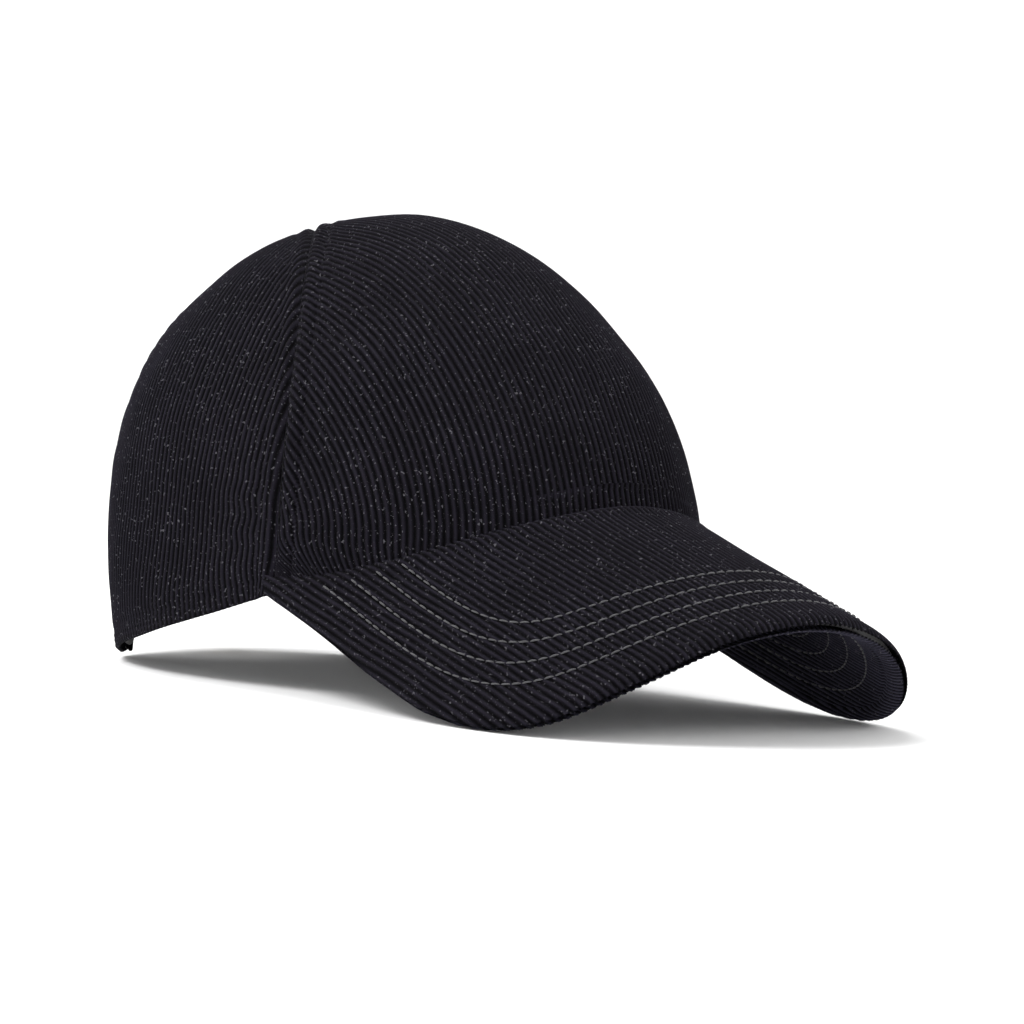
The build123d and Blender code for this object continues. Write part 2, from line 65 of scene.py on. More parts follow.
BRIM_LENGTH = 72.9
BRIM_ROOT_HEIGHT = 59.7
BRIM_SLOPE = 19.6
BRIM_ARCH = 41.4
BRIM_ARCH_STEEP = 8.3
ARCH_HALF_WIDTH = 80.0
ARCH_FADE = 0.088
BRIM_CORNER_Y = -34.8
BRIM_SIDE = (82.7, -67.1)
BRIM_CHEEK = (72.6, -152.3)
HALF_BRIM = 2.5
CORNER_WIDTH = 3.0

PANEL_THICK = 1.6
HUB_Y = 43.0
REAR_SEAM = 117.4
HEM_TEMPLE = 29.4
HEM_CORNER = 2.1
HEM_BOW = 3.1
HEM_CORNER_ANGLE = 142.0
HEM_BACK_ANGLE = 160.0
HEM_BACK = 19.6
ARCH_HALF = 36.0
ARCH_TOP = 67.6
STRAP_BOTTOM = 20.6
STRAP_WIDTH = 20.0
STRAP_TOP = STRAP_BOTTOM + STRAP_WIDTH
STRAP_INSET = 3.1
STRAP_THICK = 1.2
STRAP_HALF_ANGLE = 30.0
TAB_START = 171.5        # bearing of the buckle's bar
TAB_END = 150.0
BAR_INSET = 0.775
TAB_TURN = 1.58          # radius of the tab's middle round the bar
TAB_LEAF = 1.0
LINING_INSET = 1.9
TAPE_THICK = 0.7
TAPE_WIDTH = 11.0
BAND_INSET = 2.8
BAND_THICK = 1.7
BAND_WIDTH = 32.0
BAND_LIFT = 1.5
BAND_END = 148.0
BINDING_WIDTH = 10.0
APEX_PATCH_RADIUS = 11.0
APEX_PATCH_INSET = 2.9
TAPE_LIFT = 3            # between the hem and the tapes' lower ends
TAPE_TOP_ANGLE = 82
BUCKRAM_LIFT = 2
BUCKRAM_TOP_ANGLE = 72

LINER_HALF_WIDTH = 74.2
LINER_REACH = 91.5
LINER_Y = -3.5
LINER_RISE = 89.0
PAD_INSET = 2.3
PAD_THICK = 6.0
PATCH_WIDTH = 22.0
PATCH_THICK = 1.0
SIDE_PAD_MIDDLE = 4      # in front of the liner's middle is negative
SIDE_PAD_HALF = 38
SIDE_PAD_TOP = 45        # from the middle plane
END_PAD_TOP = 50
END_PAD_RIM = 84
CROWN_PAD = (30, 36)
PAD_CORNER = 3.0         # radius of the pads' edges
PAD_CROWN = 0.9          # how far the pads swell
PATCH_CENTRES = ((0, -48), (0, 14), (38, -14), (-38, -14))

# --- cloth --------------------------------------------------------------------------------------------
WALE_PITCH = 2.2
WALE_HEIGHT = 0.55
COLUMNS_PER_WALE = 8
ROLL_WIDTH = 4.6         # the brim's edge turns down over this width
HEM_ROLL = 1.6
STITCH_PITCH = 3.6
STITCH_RADIUS = 0.26
ROW_SETBACKS = (12.0, 18.7, 25.4, 32.1)
TOPSTITCH_SETBACK = 5.4  # puckered line beside the front seams
TOPSTITCH_PITCH = 3.2
HEM_STITCH_LIFT = 5.0
HEM_STITCH = {"front": 0.0, "side": 1.0, "back": 1.0}


def sind(angle):
    return np.sin(np.radians(angle))


def cosd(angle):
    return np.cos(np.radians(angle))


def smooth(share):
    share = np.clip(share, 0, 1)
    return share * share * (3 - 2 * share)


# --- the crown's surface ------------------------------------------------------------------------------
def crown_level(points, inset):
    """Zero on the crown's surface moved in by inset, negative inside it. points is (..., 3)."""
    x, y, z = points[..., 0], points[..., 1], points[..., 2]
    ramp = np.clip((z - EQUATOR) / PEAK_RAMP, 0, 1)
    bump = PEAK_RISE * np.exp(-(x * x + (y - PEAK_Y) ** 2) / PEAK_SPREAD ** 2) * ramp
    above = z - bump - EQUATOR
    rise = np.maximum(above, 0) / (DOME_RISE - inset)
    drop = np.minimum(above, 0) / FLARE_DROP
    y0 = y - TOP_LEAN * rise
    frontness = -y0 / np.maximum(np.hypot(x, y0), 0.001)
    spread = 1 + (FLARE_REAR + (FLARE_FRONT - FLARE_REAR) * (1 + frontness) / 2) * drop ** 2
    reach = np.where(y0 < 0, FRONT_REACH, REAR_REACH) - inset
    across = (np.abs(x) / (HALF_WIDTH - inset) / spread) ** OVAL_POWER
    along = (np.abs(y0) / reach / spread) ** OVAL_POWER
    power = DOME_POWER_REAR + (DOME_POWER_FRONT - DOME_POWER_REAR) * (1 + frontness) / 2
    return (across + along) ** (power / OVAL_POWER) + rise ** power - 1


def crown_hit(start, direction, inset=0.0):
    """Where each straight line from start, inside the crown, meets its surface."""
    near = np.zeros(direction.shape[:-1])
    far = near + 240.0
    for _ in range(34):
        middle = (near + far) / 2
        inside = crown_level(start + direction * middle[..., None], inset) < 0
        near = np.where(inside, middle, near)
        far = np.where(inside, far, middle)
    return start + direction * near[..., None]


def crown_normal(points):
    step = 0.05
    slope = []
    for axis in range(3):
        shift = np.zeros(3)
        shift[axis] = step
        slope.append(crown_level(points + shift, 0) - crown_level(points - shift, 0))
    normal = np.stack(slope, axis=-1)
    return normal / np.linalg.norm(normal, axis=-1, keepdims=True)


def wall_point(bearing, height, inset=0.0):
    """Points of the wall by bearing from the front, in degrees, and height."""
    bearing, height = np.broadcast_arrays(np.asarray(bearing, float), np.asarray(height, float))
    start = np.stack([np.zeros_like(height), np.zeros_like(height), height], axis=-1)
    outward = np.stack([sind(bearing), -cosd(bearing), np.zeros_like(height)], axis=-1)
    return crown_hit(start, outward, inset)


def brim_height(x, y):
    """Height of the middle of the brim's thickness."""
    forward = -FRONT_REACH - y
    side = np.abs(x) / ARCH_HALF_WIDTH
    arch = (BRIM_ARCH * side ** 2 + BRIM_ARCH_STEEP * side ** 4) * (1 - ARCH_FADE * forward / BRIM_LENGTH)
    return BRIM_ROOT_HEIGHT - math.tan(math.radians(BRIM_SLOPE)) * forward - arch


CORNER_X = HALF_WIDTH * (1 - (-BRIM_CORNER_Y / FRONT_REACH) ** OVAL_POWER) ** (1 / OVAL_POWER)
TEMPLE_ANGLE = math.degrees(math.atan2(CORNER_X, -BRIM_CORNER_Y))
FRONT_SEAM = math.degrees(math.atan2(CORNER_X, HUB_Y - BRIM_CORNER_Y))
HUB = np.array([0.0, HUB_Y, EQUATOR])


def hem_height(points):
    """Height of the crown's lower edge below points of its wall."""
    bearing = np.abs(np.degrees(np.arctan2(points[..., 0], -points[..., 1])))
    share = (bearing - TEMPLE_ANGLE) / (HEM_CORNER_ANGLE - TEMPLE_ANGLE)
    side = HEM_TEMPLE + (HEM_CORNER - HEM_TEMPLE) * share - 4 * HEM_BOW * share * (1 - share)
    back_share = (bearing - HEM_CORNER_ANGLE) / (HEM_BACK_ANGLE - HEM_CORNER_ANGLE)
    back = HEM_CORNER + (HEM_BACK - HEM_CORNER) * smooth(back_share)
    hem = np.where(bearing < HEM_CORNER_ANGLE, side, back)
    return np.where(bearing < TEMPLE_ANGLE, brim_height(points[..., 0], points[..., 1]), hem)


def arch_level(points):
    """Negative inside the rear opening, about the distance to its edge in mm."""
    x, z = points[..., 0], points[..., 2]
    rise = ARCH_TOP - STRAP_BOTTOM
    radius = np.hypot(x / ARCH_HALF, np.maximum(z - STRAP_BOTTOM, 0) / rise)
    scale = (ARCH_HALF + rise) / 2
    return np.where(points[..., 1] > 0, (radius - 1) * scale, 100.0)


# --- meshes -------------------------------------------------------------------------------------------
def new_object(name, vertices, faces, uv=None, smooth_shade=True):
    """Mesh object from points in mm. uv is one pair for each vertex."""
    mesh = bpy.data.meshes.new(name)
    mesh.from_pydata((np.asarray(vertices) * MM).tolist(), [], faces)
    if uv is not None:
        layer = mesh.uv_layers.new(name="UVMap")
        corners = np.zeros(len(mesh.loops), int)
        mesh.loops.foreach_get("vertex_index", corners)
        layer.data.foreach_set("uv", np.asarray(uv)[corners].ravel())
    mesh.polygons.foreach_set("use_smooth", [smooth_shade] * len(mesh.polygons))
    mesh.validate()
    mesh.update()
    piece = bpy.data.objects.new(name, mesh)
    bpy.context.scene.collection.objects.link(piece)
    return piece


def grid_faces(rows, columns, flip=False, offset=0, close=False):
    """Quads of a grid whose point (row, column) is number row * columns + column."""
    faces = []
    last = columns if close else columns - 1
    for row in range(rows - 1):
        for column in range(last):
            a = offset + row * columns + column
            b = offset + row * columns + (column + 1) % columns
            quad = (a, b, b + columns, a + columns)
            faces.append(quad[::-1] if flip else quad)
    return faces


def merge_parts(parts):
    """One list of vertices, faces and uvs from several (vertices, faces, uv)."""
    vertices, faces, uvs = [], [], []
    count = 0
    for points, quads, uv in parts:
        points = np.asarray(points).reshape(-1, 3)
        vertices.append(points)
        uvs.append(np.asarray(uv).reshape(-1, 2))
        faces += [tuple(corner + count for corner in quad) for quad in quads]
        count += len(points)
    return np.concatenate(vertices), faces, np.concatenate(uvs)


def wale_profile(phase):
    """Rounded cords with a narrow groove between them: 1 on a crest, 0 in a groove."""
    crest = 0.5 + 0.5 * np.cos(2 * np.pi * phase)
    return crest ** 0.75


# --- a crown panel ------------------------------------------------------------------------------------
class Panel:
    """Sheet of the crown whose wales run parallel to its middle line.

    A place on it is u, the length across from the middle line, and turn, the angle up from level about an
    axis through centre. limits are two upright planes through the hub, as unit normals that point inwards.
    """

    def __init__(self, name, centre, bearing, limits, turn_range):
        self.name = name
        self.centre = np.asarray(centre, float)
        self.out = np.array([sind(bearing), -cosd(bearing), 0.0])
        self.side = np.array([cosd(bearing), sind(bearing), 0.0])
        self.limits = limits
        self.turns = np.linspace(turn_range[0], turn_range[1], 260)
        sweep = np.linspace(-88, 88, 353)
        turn, swing = np.meshgrid(self.turns, sweep, indexing="ij")
        points = self.raycast(turn, swing)
        steps = np.linalg.norm(np.diff(points, axis=1), axis=-1)
        length = np.concatenate([np.zeros((len(self.turns), 1)), np.cumsum(steps, axis=1)], axis=1)
        length -= length[:, [176]]
        self.across = np.linspace(-170, 170, 681)
        self.swings = np.array([np.interp(self.across, line, sweep) for line in length])
        self.reach = np.array([self.limit_pair(points[row], length[row]) for row in range(len(self.turns))])

    def raycast(self, turn, swing):
        level = self.out * cosd(turn)[..., None] + np.array([0, 0, 1.0]) * sind(turn)[..., None]
        direction = self.side * sind(swing)[..., None] + level * cosd(swing)[..., None]
        return crown_hit(self.centre, direction)

    def limit_pair(self, points, length):
        """The lengths across at which one arch of the panel meets its two seams."""
        inside = np.ones(len(points), bool)
        for normal in self.limits:
            inside &= (points - HUB) @ normal > 0
        if not inside[176]:
            return (0.0, -1.0)
        low, high = 176, 176
        while low > 0 and inside[low - 1]:
            low -= 1
        while high < len(points) - 1 and inside[high + 1]:
            high += 1
        return (self.crossing(points, length, low, low - 1), self.crossing(points, length, high, high + 1))

    def crossing(self, points, length, near, far):
        if far < 0 or far >= len(points):
            return length[near]
        gaps = [((points[near] - HUB) @ n, (points[far] - HUB) @ n) for n in self.limits]
        shares = [a / (a - b) for a, b in gaps if b <= 0 < a]
        share = min(shares) if shares else 1.0
        return length[near] + (length[far] - length[near]) * share

    def place(self, u, turn):
        """Points of the crown at u and turn."""
        row = (turn - self.turns[0]) / (self.turns[1] - self.turns[0])
        column = (u - self.across[0]) / (self.across[1] - self.across[0])
        row = np.clip(row, 0, len(self.turns) - 1.001)
        column = np.clip(column, 0, len(self.across) - 1.001)
        r0, c0 = row.astype(int), column.astype(int)
        fr, fc = row - r0, column - c0
        table = self.swings
        low = table[r0, c0] * (1 - fc) + table[r0, c0 + 1] * fc
        high = table[r0 + 1, c0] * (1 - fc) + table[r0 + 1, c0 + 1] * fc
        return self.raycast(turn, low * (1 - fr) + high * fr)

    def seams_at(self, turn):
        low = np.interp(turn, self.turns, self.reach[:, 0])
        high = np.interp(turn, self.turns, self.reach[:, 1])
        return low, high

    def column_ends(self, u):
        """Lowest and highest turn of the wale at u."""
        line = np.full_like(self.turns, u)
        points = self.place(line, self.turns)
        open_here = (self.reach[:, 0] <= u) & (u <= self.reach[:, 1])
        clear = np.where(points[:, 2] < 0, -1.0, points[:, 2] - hem_height(points))
        rows = np.nonzero(open_here)[0]
        if not len(rows):
            return None
        top_row = rows[-1]
        top = self.turns[top_row]
        if top_row + 1 < len(self.turns):
            side = 1 if u > 0 else 0
            gap_in = abs(self.reach[top_row, side]) - abs(u)
            gap_out = abs(self.reach[top_row + 1, side]) - abs(u)
            share = np.clip(gap_in / max(gap_in - gap_out, 1e-6), 0, 1)
            top += (self.turns[1] - self.turns[0]) * share
        below = np.nonzero(clear[:top_row + 1] < 0)[0]
        if not len(below):
            return self.turns[0], top
        row = below[-1]
        if row >= top_row:
            return None
        share = -clear[row] / (clear[row + 1] - clear[row])
        return self.turns[row] + (self.turns[1] - self.turns[0]) * share, top

    def grid(self, step, rows):
        """u, turn of a grid of columns a step apart, each cut to the panel's outline."""
        half = int(self.across[-1] / step)
        columns, spans = [], []
        for index in range(-half, half + 1):
            ends = self.column_ends(index * step)
            if ends and ends[1] - ends[0] > 0.02:
                columns.append(index * step)
                spans.append(ends)
        spans = np.array(spans)
        share = np.linspace(0, 1, rows)[:, None]
        turn = spans[:, 0] + (spans[:, 1] - spans[:, 0]) * share
        u = np.broadcast_to(np.array(columns), turn.shape)
        low, high = self.seams_at(turn)
        return np.clip(u, low, high), turn


def inward_normal(bearing, sign):
    """Normal of the upright plane through the hub at bearing, on the side that sign says."""
    return sign * np.array([cosd(bearing), sind(bearing), 0.0])


def seam_distance(points, limits):
    """Distance to the nearer seam plane."""
    return np.minimum(np.abs((points - HUB) @ limits[0]), np.abs((points - HUB) @ limits[1]))


def panel_relief(points, u, turn, panel, bend, topstitch):
    """Height of the cloth above the smooth crown, and its wale phase."""
    hem = points[..., 2] - hem_height(points)
    seam = seam_distance(points, panel.limits)
    arch = arch_level(points)
    phase = (u + bend) / WALE_PITCH
    fade = smooth(seam / 1.6) * smooth((hem + 0.8) / 1.6) * smooth(arch / 1.2)
    dimple = 0.55 + 0.45 * np.cos(2 * np.pi * turn * 1.75 / TOPSTITCH_PITCH)
    line = np.exp(-((seam - TOPSTITCH_SETBACK) / 0.75) ** 2)
    relief = WALE_HEIGHT * (wale_profile(phase) - 0.5) * (0.25 + 0.75 * fade) * (1 - 0.5 * topstitch * line)
    relief -= 1.2 * np.exp(-(seam / 1.0) ** 2)
    relief += 0.45 * np.exp(-((seam - 2.8) / 1.5) ** 2)
    relief -= 0.75 * topstitch * line * dimple
    relief += 0.25 * topstitch * np.exp(-((seam - TOPSTITCH_SETBACK - 2.2) / 1.1) ** 2)
    hem_row = np.exp(-((hem - HEM_STITCH_LIFT) / 0.7) ** 2) * smooth((seam - 2) / 3)
    relief -= 0.4 * hem_row * HEM_STITCH[panel.name]
    return relief, phase


def wandering(points, scale, seed):
    """Smooth noise from a few sine waves, between about -1 and 1."""
    waves = np.random.default_rng(seed)
    total = np.zeros(points.shape[:-1])
    for _ in range(7):
        direction = waves.normal(size=3)
        direction /= np.linalg.norm(direction)
        wave = points @ direction * (2 * np.pi / scale) * waves.uniform(0.6, 1.5)
        total += np.sin(wave + waves.uniform(0, 6.3))
    return total / 3.5


def hem_bend(points):
    """The wales swing forward where the cloth turns under at the hem."""
    bearing = np.abs(np.degrees(np.arctan2(points[..., 0], -points[..., 1])))
    hem = points[..., 2] - hem_height(points)
    near = np.clip(1 - hem / 16, 0, 1) ** 2
    return near * 4.5 * smooth((bearing - TEMPLE_ANGLE) / 6)


def seam_folds(points):
    """Soft folds in the side panel's cloth beside the temple."""
    bearing = np.abs(np.degrees(np.arctan2(points[..., 0], -points[..., 1])))
    height = points[..., 2] - EQUATOR
    place = np.exp(-((bearing - TEMPLE_ANGLE - 9) / 6) ** 2) * np.exp(-((height - 2) / 14) ** 2)
    return place * np.sin(2 * np.pi * height / 11)


def crown_panel(panel, rows, seed, hem_side):
    u, turn = panel.grid(WALE_PITCH / COLUMNS_PER_WALE, rows)
    base = panel.place(u, turn)
    if panel.name == "back":
        base = snapped_to_arch(base)
    normal = crown_normal(base)
    bend = 0.3 * wandering(base, 34, seed)
    bend = bend + hem_side * hem_bend(base)
    if panel.name == "side":
        bend = bend + 0.9 * seam_folds(base)
    relief, phase = panel_relief(base, u, turn, panel, bend, 1.0 if panel.name == "front" else 0.35)
    sway = 0.45 * wandering(base, 60, seed + 50) + 0.12 * wandering(base, 17, seed + 90)
    if panel.name == "side":
        sway = sway + 0.35 * seam_folds(base)
    points = base + normal * (relief + sway)[..., None]
    uv = np.stack([phase, turn * 0.8], axis=-1)
    return points, uv, normal


def snapped_to_arch(points):
    """Points just inside the rear opening moved out to its edge."""
    x, z = points[..., 0], points[..., 2]
    rise = ARCH_TOP - STRAP_BOTTOM
    radius = np.hypot(x / ARCH_HALF, np.maximum(z - STRAP_BOTTOM, 0) / rise)
    share = np.where(radius < 1, 1 / np.maximum(radius, 0.2), 1.0)
    height = np.where(z > STRAP_BOTTOM, STRAP_BOTTOM + (z - STRAP_BOTTOM) * share, z)
    return np.where((radius < 1)[..., None], rear_point(x * share, height), points)


def rear_point(x, z, inset=0.0):
    """Points of the crown's back by x and height."""
    start = np.stack([x, np.zeros_like(x), z], axis=-1)
    return crown_hit(start, np.broadcast_to(np.array([0, 1.0, 0]), start.shape), inset)


FRONT_LIMITS = [inward_normal(FRONT_SEAM, -1), inward_normal(-FRONT_SEAM, 1)]
SIDE_LIMITS = [inward_normal(FRONT_SEAM, 1), inward_normal(REAR_SEAM, -1)]
BACK_LIMITS = [inward_normal(REAR_SEAM, 1), inward_normal(180, -1)]
FRONT = Panel("front", (0, 0, EQUATOR), 0, FRONT_LIMITS, (-40, 118))
SIDE = Panel("side", HUB, (FRONT_SEAM + REAR_SEAM) / 2, SIDE_LIMITS, (-45, 89.5))
BACK = Panel("back", HUB, (REAR_SEAM + 180) / 2, BACK_LIMITS, (-62, 89.5))


def kept_quads(points, faces):
    """Faces that are not run together to a line."""
    flat = points.reshape(-1, 3)
    quads = np.array(faces)
    one = np.linalg.norm(flat[quads[:, 0]] - flat[quads[:, 2]], axis=1)
    two = np.linalg.norm(flat[quads[:, 1]] - flat[quads[:, 3]], axis=1)
    return quads[np.minimum(one, two) > 0.03]


def roll_rows(points, normal, uv):
    """Rows that turn the lower edge under and up the inside."""
    radius = HEM_ROLL / 2
    edge = points[0]
    flat_out = normal[0] * np.array([1, 1, 0])
    flat_out /= np.linalg.norm(flat_out, axis=-1, keepdims=True)
    rows, uvs = [], []
    for angle in (180, 150, 120, 90, 60, 30):
        turn = flat_out * (cosd(angle) - 1) * radius
        rows.append(edge + turn - np.array([0, 0, 1.0]) * sind(angle) * radius)
        uvs.append(uv[0] - np.array([0, angle / 70]))
    inside = rows[0] + np.array([0, 0, 9.0]) - 0.3 * flat_out
    uvs.insert(0, uvs[0] - np.array([0, 4]))
    return np.concatenate([[inside], rows, points]), np.concatenate([uvs, uv])


def panel_pieces(name, panel, rows, seed, hem_side, mirror=False):
    """Corduroy panel with its hem turned under, the plain backing inside it, and the cut's area."""
    points, uv, normal = crown_panel(panel, rows, seed, hem_side)
    rolled, rolled_uv = roll_rows(points, normal, uv)
    u, turn = panel.grid(4.0, 40)
    inner = panel.place(u, turn)
    if panel.name == "back":
        inner = snapped_to_arch(inner)
    back = inner - crown_normal(inner) * PANEL_THICK
    back_uv = np.stack([u / WALE_PITCH, turn * 0.7], axis=-1)
    pieces = []
    layers = (("cloth", rolled, rolled_uv, False), ("backing", back, back_uv, True))
    for label, grid, layer_uv, flip in layers:
        faces = kept_quads(grid, grid_faces(*grid.shape[:2], flip=flip))
        if panel.name == "back":
            faces = outside_arch(grid, faces)
        pieces.append(sheet_object(f"{name}_{label}", [(grid, faces, layer_uv)], mirror))
        area = quad_area(grid, faces)
    return pieces, area


def quad_area(grid, faces):
    """Area in square metres of some faces of a grid of points in mm."""
    corner = grid.reshape(-1, 3)[np.array(faces)]
    cross = np.cross(corner[:, 2] - corner[:, 0], corner[:, 3] - corner[:, 1])
    return float(np.linalg.norm(cross, axis=1).sum() / 2) * MM ** 2


def outside_arch(points, faces):
    middle = points.reshape(-1, 3)[faces].mean(axis=1)
    return faces[arch_level(middle) > -0.35]


# --- thin sheets --------------------------------------------------------------------------------------
def shares(length, edge, count):
    """Places from 0 to 1 along a length, crowded within edge of both ends."""
    near = np.array([0, 0.08, 0.3, 0.65, 1.0]) * edge / length
    middle = np.linspace(near[-1], 1 - near[-1], count)[1:-1]
    return np.concatenate([near, middle, 1 - near[::-1]])


def grid_normals(grid):
    """Normals of a grid of points, away from the middle of the crown."""
    normal = np.cross(np.gradient(grid, axis=0), np.gradient(grid, axis=1))
    normal /= np.maximum(np.linalg.norm(normal, axis=-1, keepdims=True), 1e-9)
    middle = grid[grid.shape[0] // 2, grid.shape[1] // 2] - np.array([0, 0, EQUATOR])
    facing = (normal[grid.shape[0] // 2, grid.shape[1] // 2] * middle).sum()
    return normal * (1 if facing > 0 else -1)


def run_lengths(grid, axis):
    steps = np.linalg.norm(np.diff(grid, axis=axis), axis=-1)
    start = np.zeros_like(np.take(steps, [0], axis=axis))
    return np.concatenate([start, np.cumsum(steps, axis=axis)], axis=axis)


def sheet_parts(grid, thickness, edge=0.6, ripple=0.0, seed=0, cords=0.0):
    """Soft-edged sheet whose outer face lies on grid. cords is the height of ribs along the columns."""
    normal = grid_normals(grid)
    rows, columns = run_lengths(grid, 0), run_lengths(grid, 1)
    gap = np.minimum(np.minimum(rows, rows[-1:] - rows), np.minimum(columns, columns[:, -1:] - columns))
    level = np.clip(1 - gap / edge, 0, 1)
    height = thickness / 2 * np.sqrt(1 - level ** 2)
    middle = grid - normal * thickness / 2
    if ripple:
        middle = middle + normal * (ripple * wandering(grid, 26, seed))[..., None]
    phase = rows / WALE_PITCH
    outer_height = height + cords * (wale_profile(phase) - 0.5) * smooth(gap / 1.0)
    uv = np.stack([phase, columns / WALE_PITCH], axis=-1)
    ahead = np.cross(np.gradient(grid, axis=0), np.gradient(grid, axis=1))
    flip = (ahead * normal).sum() > 0
    faces = grid_faces(*grid.shape[:2], flip=not flip)
    back_faces = grid_faces(*grid.shape[:2], flip=flip)
    return [(middle + normal * outer_height[..., None], faces, uv),
            (middle - normal * height[..., None], back_faces, uv)]


def sheet_object(name, parts, mirror=False):
    vertices, faces, uvs = merge_parts(parts)
    if mirror:
        vertices = vertices * np.array([-1, 1, 1])
        faces = [face[::-1] for face in faces]
    piece = new_object(name, vertices, faces, uvs)
    welded = bmesh.new()
    welded.from_mesh(piece.data)
    bmesh.ops.remove_doubles(welded, verts=welded.verts, dist=2e-6)
    welded.to_mesh(piece.data)
    welded.free()
    return piece


def hem_line(bearing):
    height = np.full_like(bearing, EQUATOR)
    for _ in range(6):
        height = hem_height(wall_point(bearing, height))
    return height


def band_grid():
    bearing = BAND_END * (2 * shares(500, 0.8, 150) - 1)
    rise = shares(BAND_WIDTH, 0.8, 14)[:, None] * BAND_WIDTH
    height = hem_line(bearing) + BAND_LIFT + rise
    return wall_point(np.broadcast_to(bearing, height.shape), height, BAND_INSET)


def column_points(side, bearing, bottom, top_angle, inset, count, edge=0.5):
    """Points up the crown in an upright plane that passes the hub at side mm to its right."""
    start = (bottom - EQUATOR) / DOME_RISE
    angle = start + (math.radians(top_angle) - start) * shares(150, edge, count)
    out = np.array([sind(bearing), -cosd(bearing), 0])
    foot = HUB + np.array([cosd(bearing), sind(bearing), 0]) * side
    up = np.array([0, 0, 1.0])
    begin = foot + up * (np.minimum(angle, 0) * DOME_RISE)[:, None]
    rise = np.maximum(angle, 0)[:, None]
    return crown_hit(begin, out * np.cos(rise) + up * np.sin(rise), inset)


def seam_foot(side, bearing):
    """Height of the hem where the upright plane that passes the hub at side meets the wall."""
    height = np.array([EQUATOR])
    out = np.array([[sind(bearing), -cosd(bearing), 0]])
    foot = HUB + np.array([cosd(bearing), sind(bearing), 0]) * side
    for _ in range(6):
        start = np.stack([foot[:1], foot[1:2], height], axis=-1)
        height = hem_height(crown_hit(start, out, LINING_INSET))
    return float(height[0])


def tape_grid(bearing, bottom=None):
    columns = []
    for side in (shares(TAPE_WIDTH, 0.5, 5) - 0.5) * TAPE_WIDTH:
        low = seam_foot(side, bearing) + TAPE_LIFT if bottom is None else bottom
        columns.append(column_points(side, bearing, low, TAPE_TOP_ANGLE, LINING_INSET, 40))
    return np.stack(columns, axis=1)


def buckram_grid():
    columns = []
    for share in 2 * shares(190, 0.5, 44) - 1:
        bearing = FRONT_SEAM * share
        side = -(TAPE_WIDTH / 2 + 1) * share
        low = seam_foot(side, bearing) + BUCKRAM_LIFT
        columns.append(column_points(side, bearing, low, BUCKRAM_TOP_ANGLE, LINING_INSET, 40))
    return np.stack(columns, axis=1)


def above_point(x, y, inset):
    """Points of the crown above a place in plan."""
    start = np.stack([x, y, np.full_like(x, EQUATOR)], axis=-1)
    return crown_hit(start, np.broadcast_to(np.array([0, 0, 1.0]), start.shape), inset)


def square_grid(half_x, half_y, power, edge, count):
    """Plan grid of a superellipse: power 2 is an ellipse, a high power nearly a rectangle."""
    across = 2 * shares(2 * half_x, edge, count) - 1
    along = 2 * shares(2 * half_y, edge, count) - 1
    a, b = np.meshgrid(across, along)
    largest = np.maximum(np.abs(a), np.abs(b))
    rounded = (np.abs(a) ** power + np.abs(b) ** power) ** (1 / power)
    pull = largest / np.maximum(rounded, 1e-9)
    pull = np.where(largest < 1e-9, 1, pull)
    return a * pull * half_x, b * pull * half_y, largest


def binding_grid():
    angle = np.radians(26.5 + 127 * shares(150, 0.5, 60))
    grow = shares(BINDING_WIDTH, 0.5, 6)[:, None] * BINDING_WIDTH
    x = (ARCH_HALF + grow) * np.cos(angle)
    z = STRAP_BOTTOM + (ARCH_TOP - STRAP_BOTTOM + grow) * np.sin(angle)
    return rear_point(x, z, LINING_INSET)


def arch_roll_parts():
    """The turned edge of the rear opening: a half-round roll between the cloth's two faces."""
    angle = np.radians(np.linspace(0, 180, 120))
    x = np.concatenate([[ARCH_HALF], ARCH_HALF * np.cos(angle), [-ARCH_HALF]])
    z = np.concatenate([[HEM_BACK], STRAP_BOTTOM + (ARCH_TOP - STRAP_BOTTOM) * np.sin(angle), [HEM_BACK]])
    middle = rear_point(x, z, PANEL_THICK / 2)
    outward = crown_normal(middle)
    along = np.gradient(middle, axis=0)
    along /= np.linalg.norm(along, axis=1, keepdims=True)
    into = np.cross(outward, along)
    centre = np.array([0, 0, STRAP_BOTTOM])
    into *= np.sign(((centre - middle) * np.array([1, 0, 1]) * into).sum(1, keepdims=True))
    rings = []
    for turn in np.linspace(-90, 90, 9):
        rings.append(middle + 1.0 * (outward * sind(turn) + into * cosd(turn)))
    grid = np.stack(rings, axis=0)
    run = run_lengths(grid, 1)
    uv = np.stack([run / WALE_PITCH, np.broadcast_to(np.linspace(0, 1.4, 9)[:, None], run.shape)], axis=-1)
    ribs = 0.22 * (wale_profile(run / WALE_PITCH) - 0.5)
    grid = grid + (grid - middle) * ribs[..., None]
    return [(grid, grid_faces(*grid.shape[:2]), uv)]


def strap_grid():
    bearing = 180 + STRAP_HALF_ANGLE * (2 * shares(95, 0.6, 70) - 1)
    height = STRAP_BOTTOM + STRAP_WIDTH * shares(STRAP_WIDTH, 0.6, 74)[:, None]
    shape = np.broadcast_shapes(bearing.shape, height.shape)
    return wall_point(np.broadcast_to(bearing, shape), np.broadcast_to(height, shape), STRAP_INSET)


